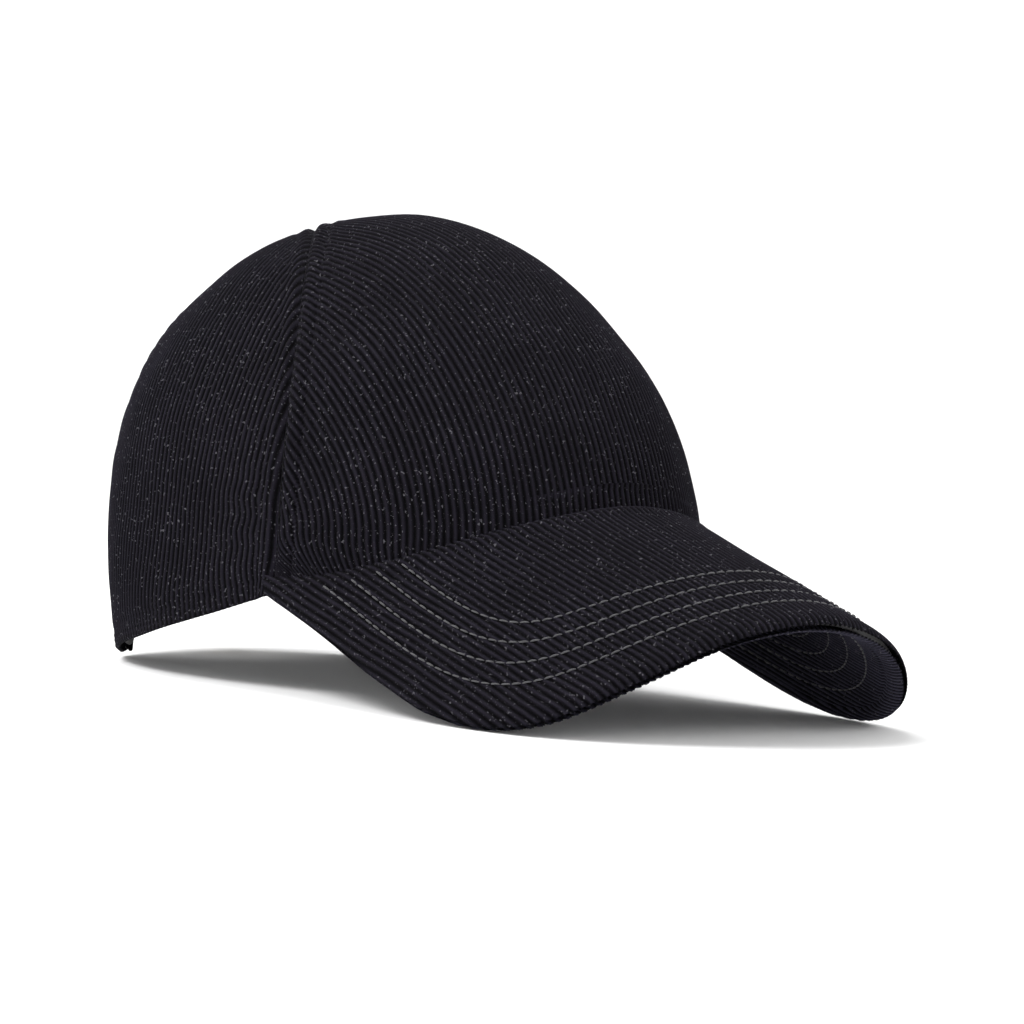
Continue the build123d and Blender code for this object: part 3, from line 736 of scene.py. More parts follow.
def tab_path(height):
    """Middle line of the tab at one height: out along the panel, round the bar and back inside."""
    lead = np.linspace(TAB_END, TAB_START, 34)
    outer = wall_point(lead, height, BAR_INSET - TAB_TURN)
    inner = wall_point(lead[::-1], height, BAR_INSET + TAB_TURN)
    bar = wall_point(TAB_START, height, BAR_INSET)
    away = np.array([sind(TAB_START), -cosd(TAB_START), 0])
    back = np.array([cosd(TAB_START), sind(TAB_START), 0])
    turn = np.linspace(0, 180, 12)[1:-1, None]
    loop = bar + TAB_TURN * (away * cosd(turn) + back * sind(turn))
    return np.concatenate([outer, loop, inner])


def tab_parts():
    """The tab as one folded strip with ribs on its outer face."""
    height = STRAP_BOTTOM + STRAP_WIDTH * shares(STRAP_WIDTH, 0.5, 66)
    middle = np.stack([tab_path(level) for level in height])
    normal = np.cross(np.gradient(middle, axis=1), np.gradient(middle, axis=0))
    normal /= np.linalg.norm(normal, axis=-1, keepdims=True)
    if normal[30, 5, 1] < 0:
        normal = -normal
    rows = run_lengths(middle, 0)
    columns = run_lengths(middle, 1)
    gap = np.minimum(np.minimum(rows, rows[-1:] - rows), np.minimum(columns, columns[:, -1:] - columns))
    half = TAB_LEAF / 2 * np.sqrt(1 - np.clip(1 - gap / 0.5, 0, 1) ** 2)
    ribs = 0.4 * (wale_profile(rows / WALE_PITCH) - 0.5) * smooth(gap)
    uv = np.stack([rows / WALE_PITCH, columns / WALE_PITCH], axis=-1)
    shape = middle.shape[:2]
    return [(middle + normal * (half + ribs)[..., None], grid_faces(*shape, flip=False), uv),
            (middle - normal * half[..., None], grid_faces(*shape, flip=True), uv)]


# --- liner pads ---------------------------------------------------------------------------------------
def liner_rim(y):
    """Height of the pads' lower ends by y."""
    return np.interp(y, (-130, -85, -55, -20, 40, 85, 120), (89.6, 77.6, 70.0, 61.6, 61.6, 71.6, 85.6))


def liner_normal(points):
    axes = np.array([LINER_HALF_WIDTH, LINER_REACH, LINER_RISE])
    scaled = (points - np.array([0, LINER_Y, EQUATOR])) / axes ** 2
    return scaled / np.linalg.norm(scaled, axis=-1, keepdims=True)


def pad_parts(base, largest, half):
    """Puffed foam on the liner: base is the face against the shell, largest is 1 at the border."""
    normal = liner_normal(base)
    gap = (1 - largest) * half
    level = np.clip(1 - gap / PAD_CORNER, 0, 1)
    round_off = np.sqrt(1 - level ** 2)
    crown = PAD_CROWN * np.clip(gap / half, 0, 1) ** 0.6
    middle = base - normal * PAD_THICK / 2
    outer = middle + normal * (PAD_THICK / 2 * round_off)[..., None]
    inner = middle - normal * ((PAD_THICK / 2 + crown - 0.6) * round_off)[..., None]
    uv = np.stack([run_lengths(base, 1), run_lengths(base, 0)], axis=-1)
    ahead = np.cross(np.gradient(base, axis=0), np.gradient(base, axis=1))
    flip = (ahead * normal).sum() > 0
    faces = grid_faces(*base.shape[:2], flip=not flip)
    back = grid_faces(*base.shape[:2], flip=flip)
    return [(outer, faces, uv), (inner, back, uv)]


def liner_point(x, y, inset):
    """Points of the liner's dome above a place in plan, moved in by inset."""
    a, b, c = LINER_HALF_WIDTH - inset, LINER_REACH - inset, LINER_RISE - inset
    rest = 1 - (x / a) ** 2 - ((y - LINER_Y) / b) ** 2
    return np.stack([x, y, EQUATOR + c * np.sqrt(np.maximum(rest, 0))], axis=-1)


def side_pad(sign):
    """Side pad over y and the way up the dome, from the rim to 45 mm from the middle."""
    a, b, largest = square_grid(1.0, 1.0, 7, 0.09, 26)
    inset = PAD_INSET
    y = SIDE_PAD_MIDDLE + LINER_Y + SIDE_PAD_HALF * a
    level = np.sqrt(1 - ((y - LINER_Y) / (LINER_REACH - inset)) ** 2)
    low = np.arcsin((liner_rim(y) - EQUATOR) / ((LINER_RISE - inset) * level))
    high = np.arccos(SIDE_PAD_TOP / ((LINER_HALF_WIDTH - inset) * level))
    angle = low + (high - low) * (b + 1) / 2
    x = sign * (LINER_HALF_WIDTH - inset) * level * np.cos(angle)
    base = np.stack([x, y, EQUATOR + (LINER_RISE - inset) * level * np.sin(angle)], axis=-1)
    return pad_parts(base, largest, 30)


def end_pad(sign, half_width):
    """Front (sign -1) or rear (sign 1) pad over x and the way up the dome."""
    a, b, largest = square_grid(1.0, 1.0, 7, 0.09, 26)
    inset = PAD_INSET
    x = half_width * a
    level = np.sqrt(1 - (x / (LINER_HALF_WIDTH - inset)) ** 2)
    rim = liner_rim(np.array([LINER_Y + sign * END_PAD_RIM]))[0]
    low = np.arcsin((rim - EQUATOR) / ((LINER_RISE - inset) * level))
    high = np.arccos(END_PAD_TOP / ((LINER_REACH - inset) * level))
    angle = low + (high - low) * (b + 1) / 2
    y = LINER_Y + sign * (LINER_REACH - inset) * level * np.cos(angle)
    base = np.stack([x, y, EQUATOR + (LINER_RISE - inset) * level * np.sin(angle)], axis=-1)
    return pad_parts(base, largest, 32)


def crown_pad():
    x, y, largest = square_grid(*CROWN_PAD, 2, 3.0, 26)
    return pad_parts(liner_point(x, y + LINER_Y, PAD_INSET), largest, 30)


def hook_parts():
    parts = []
    for centre_x, centre_y in PATCH_CENTRES:
        x, y, _ = square_grid(PATCH_WIDTH / 2, PATCH_WIDTH / 2, 12, 0.5, 16)
        parts += sheet_parts(liner_point(x + centre_x, y + centre_y, -1.1), PATCH_THICK, 0.4)
    return parts


def loop_parts():
    parts = []
    for centre_x, centre_y in PATCH_CENTRES:
        x, y, _ = square_grid(PATCH_WIDTH / 2, PATCH_WIDTH / 2, 12, 0.5, 16)
        grid = above_point(x + centre_x, y + centre_y, LINING_INSET + TAPE_THICK + 0.2)
        parts += sheet_parts(grid, PATCH_THICK, 0.4)
    return parts


# --- brim ---------------------------------------------------------------------------------------------
def spline_through(points, samples):
    """Smooth natural curve through points, evenly spaced along its length."""
    points = np.asarray(points, float)
    chord = np.concatenate([[0], np.cumsum(np.linalg.norm(np.diff(points, axis=0), axis=1))])
    count = len(points)
    gaps = np.diff(chord)
    matrix = np.eye(count)
    right = np.zeros((count, points.shape[1]))
    for i in range(1, count - 1):
        matrix[i, i - 1], matrix[i, i], matrix[i, i + 1] = gaps[i - 1], 2 * (gaps[i - 1] + gaps[i]), gaps[i]
        slope_after = (points[i + 1] - points[i]) / gaps[i]
        slope_before = (points[i] - points[i - 1]) / gaps[i - 1]
        right[i] = 6 * (slope_after - slope_before)
    bend = np.linalg.solve(matrix, right)
    at = np.linspace(0, chord[-1], samples * 4)
    piece = np.clip(np.searchsorted(chord, at) - 1, 0, count - 2)
    a = (chord[piece + 1] - at)[:, None]
    b = (at - chord[piece])[:, None]
    h = gaps[piece][:, None]
    curve = (bend[piece] * a ** 3 + bend[piece + 1] * b ** 3) / (6 * h)
    curve += (points[piece] / h - bend[piece] * h / 6) * a
    curve += (points[piece + 1] / h - bend[piece + 1] * h / 6) * b
    return resample(curve, samples)


def resample(curve, samples):
    run = np.concatenate([[0], np.cumsum(np.linalg.norm(np.diff(curve, axis=0), axis=1))])
    at = np.linspace(0, run[-1], samples)
    return np.stack([np.interp(at, run, curve[:, axis]) for axis in range(curve.shape[1])], axis=1)


def brim_edge():
    side = [(CORNER_X + CORNER_WIDTH, BRIM_CORNER_Y - 1), BRIM_SIDE, BRIM_CHEEK]
    tip = (0, -FRONT_REACH - BRIM_LENGTH)
    return spline_through(side + [tip] + [(-x, y) for x, y in reversed(side)], 500)


def brim_root(inset):
    """Line along the crown where the brim joins it, from the wearer's right to left."""
    bearing = np.linspace(-TEMPLE_ANGLE - 1, TEMPLE_ANGLE + 1, 200)
    height = np.full_like(bearing, EQUATOR)
    for _ in range(8):
        points = wall_point(bearing, height, inset)
        height = brim_height(points[:, 0], points[:, 1])
    return points[:, :2]


class BrimCloth:
    """The brim's middle surface, with u as the length across the arch from its middle line."""

    slope = 1 / math.cos(math.radians(BRIM_SLOPE))

    def __init__(self):
        self.rows = np.linspace(-190, -20, 171)
        self.x = np.linspace(-100, 100, 801)
        x, y = np.meshgrid(self.x, self.rows)
        z = brim_height(x, y)
        steps = np.hypot(np.diff(x, axis=1), np.diff(z, axis=1))
        u = np.concatenate([np.zeros((len(self.rows), 1)), np.cumsum(steps, axis=1)], axis=1)
        self.u = u - u[:, [400]]
        self.edge = brim_edge()
        self.edge_uy = self.to_uy(self.edge)
        self.root = brim_root(0.5)
        outline = np.concatenate([self.edge, self.root])
        self.outline_uy = self.to_uy(np.concatenate([outline, outline[:1]]))
        self.root_uy = self.to_uy(self.root)

    def to_uy(self, plan):
        row = np.clip(plan[:, 1] + 190, 0, 169.999)
        low = row.astype(int)
        part = row - low
        lower = np.array([np.interp(x, self.x, self.u[r]) for x, r in zip(plan[:, 0], low)])
        upper = np.array([np.interp(x, self.x, self.u[r + 1]) for x, r in zip(plan[:, 0], low)])
        return np.stack([lower * (1 - part) + upper * part, plan[:, 1] * self.slope], axis=1)

    def to_x(self, u, y):
        row = np.clip(y + 190, 0, 169.999)
        low = row.astype(int)
        part = row - low
        x = np.zeros(u.shape)
        for r in np.unique(low):
            here = low == r
            before = np.interp(u[here], self.u[r], self.x)
            after = np.interp(u[here], self.u[r + 1], self.x)
            x[here] = before * (1 - part[here]) + after * part[here]
        return x

    def spans(self, step):
        """u of each column, and the y of its front and back ends."""
        line = self.outline_uy
        half = int(np.abs(line[:, 0]).max() / step)
        columns, ends = [], []
        for index in range(-half, half + 1):
            u = index * step
            a, b = line[:-1], line[1:]
            cuts = (a[:, 0] - u) * (b[:, 0] - u) < 0
            share = (u - a[cuts, 0]) / (b[cuts, 0] - a[cuts, 0])
            y = a[cuts, 1] + (b[cuts, 1] - a[cuts, 1]) * share
            if len(y) >= 2 and y.max() - y.min() > 0.3:
                columns.append(u)
                ends.append((y.min(), y.max()))
        return np.array(columns), np.array(ends)

    def normal(self, x, y):
        step = 0.5
        fall_x = (brim_height(x + step, y) - brim_height(x - step, y)) / (2 * step)
        fall_y = (brim_height(x, y + step) - brim_height(x, y - step)) / (2 * step)
        normal = np.stack([-fall_x, -fall_y, np.ones_like(x)], axis=-1)
        return normal / np.linalg.norm(normal, axis=-1, keepdims=True)

    def nearest(self, u, y, line):
        """Distance to line, in the flat cloth, and the place on it."""
        place = np.stack([u.ravel(), y.ravel() * self.slope], axis=1)
        distance, index = np.zeros(len(place)), np.zeros(len(place), int)
        for start in range(0, len(place), 8000):
            gaps = place[start:start + 8000, None] - line[None]
            lengths = np.hypot(gaps[..., 0], gaps[..., 1])
            index[start:start + 8000] = lengths.argmin(axis=1)
            distance[start:start + 8000] = lengths.min(axis=1)
        return distance.reshape(u.shape), index.reshape(u.shape)


BRIM = BrimCloth()


def brim_rows(count):
    """Shares from the front to the back of a column, crowded at both ends."""
    share = np.linspace(0, 1, count)
    return share - 0.13 * np.sin(2 * np.pi * share)


def brim_surface(u, y, side, lift=0.0):
    """Points and outward normals of the top (side 1) or under (side -1) face."""
    x = BRIM.to_x(u, y)
    middle = np.stack([x, y, brim_height(x, y)], axis=-1)
    up = BRIM.normal(x, y) * side
    distance, index = BRIM.nearest(u, y, BRIM.edge_uy)
    level = np.clip(1 - distance / ROLL_WIDTH, 0, 1)
    height = HALF_BRIM * np.sqrt(1 - level ** 2)
    edge = BRIM.edge[index]
    rim = np.stack([edge[..., 0], edge[..., 1], brim_height(edge[..., 0], edge[..., 1])], axis=-1)
    outward = rim - middle
    outward -= (outward * up).sum(-1, keepdims=True) * up
    outward /= np.maximum(np.linalg.norm(outward, axis=-1, keepdims=True), 0.05)
    lean = level * HALF_BRIM / ROLL_WIDTH
    normal = up * np.sqrt(1 - level ** 2)[..., None] + outward * lean[..., None]
    normal /= np.linalg.norm(normal, axis=-1, keepdims=True)
    return middle + up * height[..., None] + normal * lift, normal, distance


def brim_piece(name, side, seed):
    step = WALE_PITCH / COLUMNS_PER_WALE
    columns, ends = BRIM.spans(step)
    share = brim_rows(84)[:, None]
    y = (ends[:, 0] + (ends[:, 1] - ends[:, 0]) * share) / BRIM.slope
    u = np.broadcast_to(columns, y.shape)
    points, normal, distance = brim_surface(u, y, side)
    root = BRIM.nearest(u, y, BRIM.root_uy)[0]
    bend = 0.25 * wandering(points, 40, seed)
    phase = (u + bend) / WALE_PITCH
    relief = WALE_HEIGHT * (wale_profile(phase) - 0.5)
    for setback in ROW_SETBACKS:
        relief -= 0.3 * np.exp(-((distance - setback) / 0.7) ** 2)
    relief -= 0.9 * np.exp(-(root / 1.3) ** 2)
    relief += 0.4 * np.exp(-((root - 3.4) / 2.0) ** 2)
    if side < 0:
        relief -= 0.5 * np.exp(-((distance - 5.4) / 0.6) ** 2)
    relief += 0.25 * wandering(points, 45, seed + 9)
    points = points + normal * relief[..., None]
    uv = np.stack([phase, y / WALE_PITCH], axis=-1)
    faces = kept_quads(points, grid_faces(*u.shape, flip=side < 0))
    return new_object(name, points.reshape(-1, 3), [tuple(f) for f in faces], uv.reshape(-1, 2))


def brim_row(setback):
    """Line at a distance from the brim's edge, in (u, y), evenly spaced by the stitch pitch."""
    line = BRIM.edge_uy
    along = np.gradient(line, axis=0)
    inward = np.stack([along[:, 1], -along[:, 0]], axis=1)
    inward /= np.linalg.norm(inward, axis=1, keepdims=True)
    middle = np.array([0, line[:, 1].mean()])
    inward *= np.sign(((middle - line) * inward).sum(1, keepdims=True))
    moved = line + inward * setback
    y = moved[:, 1] / BRIM.slope
    distance = BRIM.nearest(moved[:, 0], y, line)[0]
    x = BRIM.to_x(moved[:, 0], y)
    ahead = crown_level(np.stack([x, y, brim_height(x, y)], axis=-1), -1.5) > 0
    kept = moved[(distance > setback - 0.3) & ahead]
    run = np.linalg.norm(np.diff(kept, axis=0), axis=1).sum()
    return resample(kept, int(run / STITCH_PITCH) * 6 + 1)


def stitch_parts(path, normal, radius=STITCH_RADIUS, sides=6):
    """Thread stitches along a path that has six points for each stitch pitch; the sixth is left open."""
    parts = []
    for start in range(0, len(path) - 6, 6):
        line = path[start:start + 6]
        up = normal[start:start + 6]
        ahead = np.gradient(line, axis=0)
        ahead /= np.linalg.norm(ahead, axis=1, keepdims=True)
        across = np.cross(ahead, up)
        sag = np.array([-0.45, -0.05, 0.1, 0.1, -0.05, -0.45])
        swell = np.array([0.35, 0.95, 1, 1, 0.95, 0.35]) * radius
        rings = []
        for corner in range(sides):
            angle = 2 * np.pi * corner / sides
            reach = across * math.cos(angle) + up * math.sin(angle)
            rings.append(line + up * sag[:, None] * radius * 1.6 + reach * swell[:, None])
        grid = np.stack(rings, axis=1)
        uv = np.stack(np.meshgrid(np.arange(sides), np.arange(6.0)), axis=-1)
        faces = grid_faces(6, sides, close=True)
        faces.append(tuple(range(sides))[::-1])
        faces.append(tuple(range(5 * sides, 6 * sides)))
        parts.append((grid, faces, uv))
    return parts


def brim_stitching(name, side):
    parts = []
    for setback in ROW_SETBACKS:
        line = brim_row(setback)
        points, normal, _ = brim_surface(line[:, 0], line[:, 1] / BRIM.slope, side, lift=0.18)
        parts += stitch_parts(points, normal)
    vertices, faces, uvs = merge_parts(parts)
    return new_object(name, vertices, faces, uvs)


# --- materials ----------------------------------------------------------------------------------------
def new_material(name, color, roughness, **inputs):
    material = bpy.data.materials.new(name)
    material.use_nodes = True
    shader = material.node_tree.nodes["Principled BSDF"]
    shader.inputs["Base Color"].default_value = (*color, 1)
    shader.inputs["Roughness"].default_value = roughness
    for key, value in inputs.items():
        shader.inputs[key.replace("_", " ")].default_value = value
    return material, shader


def add_node(material, kind, **values):
    node = material.node_tree.nodes.new(kind)
    for key, value in values.items():
        if key in node.inputs:
            node.inputs[key].default_value = value
        else:
            setattr(node, key, value)
    return node


def link(material, source, target):
    material.node_tree.links.new(source, target)


def math_node(material, operation, first, second=None, third=None):
    node = add_node(material, "ShaderNodeMath", operation=operation)
    for socket, value in zip(node.inputs, (first, second, third)):
        if value is None:
            continue
        if isinstance(value, (int, float)):
            socket.default_value = value
        else:
            link(material, value, socket)
    return node.outputs[0]


def ramp_node(material, value, stops):
    node = add_node(material, "ShaderNodeValToRGB")
    while len(node.color_ramp.elements) < len(stops):
        node.color_ramp.elements.new(0.5)
    for element, (position, color) in zip(node.color_ramp.elements, stops):
        element.position = position
        element.color = (*color, 1)
    link(material, value, node.inputs[0])
    return node.outputs[0]


def noise_node(material, scale, detail=3.0, roughness=0.6, vector=None):
    node = add_node(material, "ShaderNodeTexNoise", Scale=scale, Detail=detail, Roughness=roughness)
    if vector is None:
        vector = add_node(material, "ShaderNodeTexCoord").outputs["Object"]
    link(material, vector, node.inputs["Vector"])
    return node.outputs["Fac"]


def mix_color(material, factor, first, second, blend="MIX"):
    node = add_node(material, "ShaderNodeMix", data_type="RGBA", blend_type=blend)
    for socket, value in ((node.inputs[0], factor), (node.inputs[6], first), (node.inputs[7], second)):
        if isinstance(value, (int, float)):
            socket.default_value = value
        elif isinstance(value, tuple):
            socket.default_value = (*value, 1)
        else:
            link(material, value, socket)
    return node.outputs[2]


def bump(material, shader, height, distance, strength=1.0):
    node = add_node(material, "ShaderNodeBump", Distance=distance, Strength=strength)
    link(material, height, node.inputs["Height"])
    link(material, node.outputs["Normal"], shader.inputs["Normal"])


def corduroy(name, groove, crest, lint):
    """Ribbed pile with lint and fine tufts: darker in the grooves as painted shade, paler on the crests as
    painted highlight.
    """
    material, shader = new_material(name, crest, 0.92, Sheen_Weight=0.008, Sheen_Roughness=0.4,
                                    Specular_IOR_Level=0.04)
    shader.inputs["Sheen Tint"].default_value = (0.82, 0.78, 0.9, 1)
    uv = add_node(material, "ShaderNodeTexCoord").outputs["UV"]
    split = add_node(material, "ShaderNodeSeparateXYZ")
    link(material, uv, split.inputs[0])
    angle = math_node(material, "MULTIPLY", split.outputs["X"], 2 * math.pi)
    wave = math_node(material, "COSINE", angle)
    wave = math_node(material, "MULTIPLY_ADD", wave, 0.5, 0.5)
    tufts = noise_node(material, 2600, 2.0, 0.7)
    patches = noise_node(material, 55, 4.0, 0.6)
    wobble = math_node(material, "MULTIPLY_ADD", tufts, 0.9, -0.45)
    # painted shade and highlight: the colour runs from dark in the wale grooves to pale on the crests,
    # brightest at the crest tips, standing in for light the pile catches
    crest_shade_and_highlight_mask = math_node(material, "ADD", wave, wobble)
    tip = tuple(c * 1.9 for c in crest)
    color = ramp_node(material, crest_shade_and_highlight_mask, [(0.12, groove), (0.62, crest), (0.98, tip)])
    shade = ramp_node(material, patches, [(0.3, (0.78, 0.78, 0.78)), (0.7, (1.15, 1.15, 1.15))])
    color = mix_color(material, 1.0, color, shade, "MULTIPLY")
    specks = noise_node(material, 1100, 2.0, 0.5)
    lint_mask = ramp_node(material, specks, [(0.64, (0, 0, 0)), (0.72, (1, 1, 1))])
    color = mix_color(material, math_node(material, "MULTIPLY", lint_mask, 0.55), color, lint)
    link(material, color, shader.inputs["Base Color"])
    rough = math_node(material, "MULTIPLY_ADD", tufts, 0.25, 0.72)
    link(material, rough, shader.inputs["Roughness"])
    fine = noise_node(material, 3800, 2.0, 0.75)
    bump(material, shader, fine, 0.00035, 0.8)
    return material


def thread(name, color):
    material, shader = new_material(name, color, 0.6, Sheen_Weight=0.2)
    uv = add_node(material, "ShaderNodeTexCoord").outputs["UV"]
    wave = add_node(material, "ShaderNodeTexWave", Scale=1.4, Distortion=0.4)
    wave.bands_direction = "DIAGONAL"
    link(material, uv, wave.inputs["Vector"])
    dark = tuple(c * 0.55 for c in color)
    link(material, ramp_node(material, wave.outputs["Fac"], [(0.2, dark), (0.7, color)]),
         shader.inputs["Base Color"])
    bump(material, shader, wave.outputs["Fac"], 0.0001, 0.6)
    return material


def woven(name, color, pitch=0.0006, roughness=0.88):
    """Plain weave from two crossed waves, with a soft tone variation."""
    material, shader = new_material(name, color, roughness, Sheen_Weight=0.15)
    place = add_node(material, "ShaderNodeTexCoord").outputs["Object"]
    warp = add_node(material, "ShaderNodeTexWave", Scale=1 / pitch / 6.28, Distortion=0.6)
    weft = add_node(material, "ShaderNodeTexWave", Scale=1 / pitch / 6.28, Distortion=0.6)
    warp.bands_direction = "DIAGONAL"
    weft.bands_direction = "Z"
    for wave in (warp, weft):
        link(material, place, wave.inputs["Vector"])
    weave = math_node(material, "MULTIPLY", warp.outputs["Fac"], weft.outputs["Fac"])
    tone = noise_node(material, 70, 4.0)
    dark = tuple(c * 0.62 for c in color)
    base = ramp_node(material, weave, [(0.05, dark), (0.6, color)])
    shade = ramp_node(material, tone, [(0.3, (0.85, 0.85, 0.85)), (0.7, (1.1, 1.1, 1.1))])
    link(material, mix_color(material, 1.0, base, shade, "MULTIPLY"), shader.inputs["Base Color"])
    bump(material, shader, weave, 0.00015, 0.7)
    return material


def moulded(name, color, roughness, grain=1400, depth=0.00008):
    """Moulded plastic or foam with a fine grain and rubbed patches."""
    material, shader = new_material(name, color, roughness)
    grain_noise = noise_node(material, grain, 3.0, 0.6)
    rub = noise_node(material, 40, 5.0, 0.65)
    pale = tuple(min(1, c * 1.35 + 0.01) for c in color)
    link(material, ramp_node(material, rub, [(0.35, color), (0.75, pale)]), shader.inputs["Base Color"])
    rough = math_node(material, "MULTIPLY_ADD", rub, 0.3, roughness - 0.15)
    link(material, rough, shader.inputs["Roughness"])
    bump(material, shader, grain_noise, depth, 0.8)
    return material


def brass(name):
    material, shader = new_material(name, (0.33, 0.25, 0.14), 0.38, Metallic=1.0)
    stain = noise_node(material, 260, 5.0, 0.7)
    color = ramp_node(material, stain, [(0.35, (0.10, 0.075, 0.045)), (0.6, (0.40, 0.31, 0.17))])
    link(material, color, shader.inputs["Base Color"])
    link(material, math_node(material, "MULTIPLY_ADD", stain, -0.3, 0.55), shader.inputs["Roughness"])
    bump(material, shader, noise_node(material, 1800, 2.0), 0.00004, 0.6)
    return material


# painted shade: the colour of the wale grooves, darkened to stand in for shade between the cords
GROOVE_PAINTED_SHADE = (0.0006, 0.0005, 0.0009)
CREST = (0.0048, 0.0043, 0.0065)
# painted light: a paler copy of the crest colour for the brim's under cover, brightened to stand in for
# light that does not reach it; the cloth is the same as on top
UNDER_CREST_PAINTED_LIGHT = (0.022, 0.021, 0.031)
LINT = (0.12, 0.115, 0.13)


def finish_piece(piece, body, material, slot, *nodes):
    piece.data.materials.append(material)
    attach(piece, body)
    if nodes:
        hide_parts(*nodes)
    return piece


def add_panel(name, cloth, backing, flat, pieces, area, edge=()):
    for piece, material, going in zip(pieces, (cloth, backing), (edge, ())):
        finish_piece(piece, "cap", material, "corduroy", name)


def build_crown(cloth, backing):
    add_panel("front_panel", cloth, backing, (0.246, 0.180), *panel_pieces("front_panel", FRONT, 126, 3, 0))
    roll = finish_piece(sheet_object("rear_arch_roll", arch_roll_parts()), "cap", cloth, "corduroy")
    for side, mirror in (("left", False), ("right", True)):
        pieces, area = panel_pieces(f"side_panel_{side}", SIDE, 100, 11, 1, mirror)
        add_panel(f"side_panel_{side}", cloth, backing, (0.117, 0.180), pieces, area)
        pieces, area = panel_pieces(f"back_panel_{side}", BACK, 100, 17, 0.4, mirror)
        edge = () if mirror else [roll]
        add_panel(f"back_panel_{side}", cloth, backing, (0.062, 0.162), pieces, area, edge)


def build_brim(cloth, painted_light_under_cloth, light_thread):
    top = finish_piece(brim_piece("brim_top_cloth", 1, 5), "cap", cloth, "corduroy",
                       "brim_top_cover", "brim_seam_allowance")
    under = finish_piece(brim_piece("brim_under_cloth", -1, 6), "cap", painted_light_under_cloth, "corduroy",
                         "brim_under_cover")
    rows = [finish_piece(brim_stitching(name, side), "cap", light_thread, "corduroy")
            for name, side in (("brim_stitching_top", 1), ("brim_stitching_under", -1))]


def build_lining(twill, tape, buckram, satin, loops):
    band = sheet_object("sweatband_twill", sheet_parts(band_grid(), BAND_THICK, 0.8, 0.25, 31))
    finish_piece(band, "cap", twill, "sweatband_twill", "sweatband")
    stiff = sheet_object("front_buckram_mesh", sheet_parts(buckram_grid(), TAPE_THICK, 0.5))
    finish_piece(stiff, "cap", buckram, "buckram", "front_buckram")
    for name, bearing, flat in (("seam_tape_front", FRONT_SEAM, (0.0126, 0.1635)),
                                ("seam_tape_rear", REAR_SEAM, (0.0116, 0.1496))):
        parts = sheet_parts(tape_grid(bearing), TAPE_THICK, 0.5)
        for side, mirror in (("left", False), ("right", True)):
            piece = sheet_object(f"{name}_{side}_strip", parts, mirror)
            finish_piece(piece, "cap", tape, "tape", f"{name}_{side}")
    centre_grid = tape_grid(180, ARCH_TOP + BINDING_WIDTH + 2)
    centre = sheet_object("seam_tape_centre_strip", sheet_parts(centre_grid, TAPE_THICK))
    finish_piece(centre, "cap", tape, "tape", "seam_tape_centre")
    x, y, _ = square_grid(APEX_PATCH_RADIUS, APEX_PATCH_RADIUS, 2, 0.5, 14)
    apex_grid = above_point(x, y + HUB_Y, APEX_PATCH_INSET)
    apex = sheet_object("apex_patch_round", sheet_parts(apex_grid, TAPE_THICK, 0.5))
    finish_piece(apex, "cap", tape, "tape", "apex_patch")
    binding = sheet_object("rear_arch_binding_strip", sheet_parts(binding_grid(), TAPE_THICK, 0.5))
    finish_piece(binding, "cap", tape, "tape", "rear_arch_binding")
    bearing = 114 + 16 * shares(22, 0.3, 16)
    rise = shares(18, 0.3, 12)[:, None] * 18 + hem_line(np.array([130.0]))[0] + 6
    shape = np.broadcast_shapes(bearing.shape, rise.shape)
    inset = BAND_INSET + BAND_THICK + 0.2
    grid = wall_point(np.broadcast_to(bearing, shape), np.broadcast_to(rise, shape), inset)
    label = sheet_object("care_label_blank", sheet_parts(grid, 0.4, 0.3, 0.15, 5))
    finish_piece(label, "cap", satin, "label_satin", "care_label")
    soft = sheet_object("loop_patches_pile", loop_parts())
    finish_piece(soft, "cap", loops, "loop_tape", "loop_patches")


def build_strap(cloth, dark_thread):
    strap = sheet_object("rear_strap_cloth", sheet_parts(strap_grid(), STRAP_THICK, 0.6, cords=0.4))
    finish_piece(strap, "cap", cloth, "corduroy", "rear_strap")
    tab = sheet_object("buckle_tab_cloth", tab_parts())
    finish_piece(tab, "cap", cloth, "corduroy", "buckle_tab")
    parts = []
    for height in (STRAP_BOTTOM + 2.2, STRAP_TOP - 2.2):
        for low, high, inset in ((152.0, 168.5, -1.35), (186.0, 208.0, STRAP_INSET)):
            line = wall_point(np.linspace(low, high, 200), height, inset)
            run = np.linalg.norm(np.diff(line, axis=0), axis=1).sum()
            line = resample(line, int(run / STITCH_PITCH) * 6 + 1)
            normal = crown_normal(line)
            parts += stitch_parts(line + 0.25 * normal, normal)
    vertices, faces, uvs = merge_parts(parts)
    rows = new_object("strap_stitching", vertices, faces, uvs)
    finish_piece(rows, "cap", dark_thread, "corduroy")


def build_liner(foam, hooks):
    pads = {"pad_left": side_pad(1), "pad_right": side_pad(-1), "pad_front": end_pad(-1, 39),
            "pad_rear": end_pad(1, 33), "pad_crown": crown_pad()}
    for node, parts in pads.items():
        piece = sheet_object(f"{node}_foam", parts)
        finish_piece(piece, "impact_liner", foam, "eva_foam", node)
    patches = sheet_object("hook_patches_pile", hook_parts())
    finish_piece(patches, "impact_liner", hooks, "hook_tape", "hook_patches")


def paint_node(node, material):
    """Puts a material on a carried-over CAD node."""
    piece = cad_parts[node]
    piece.data.materials.clear()
    piece.data.materials.append(material)


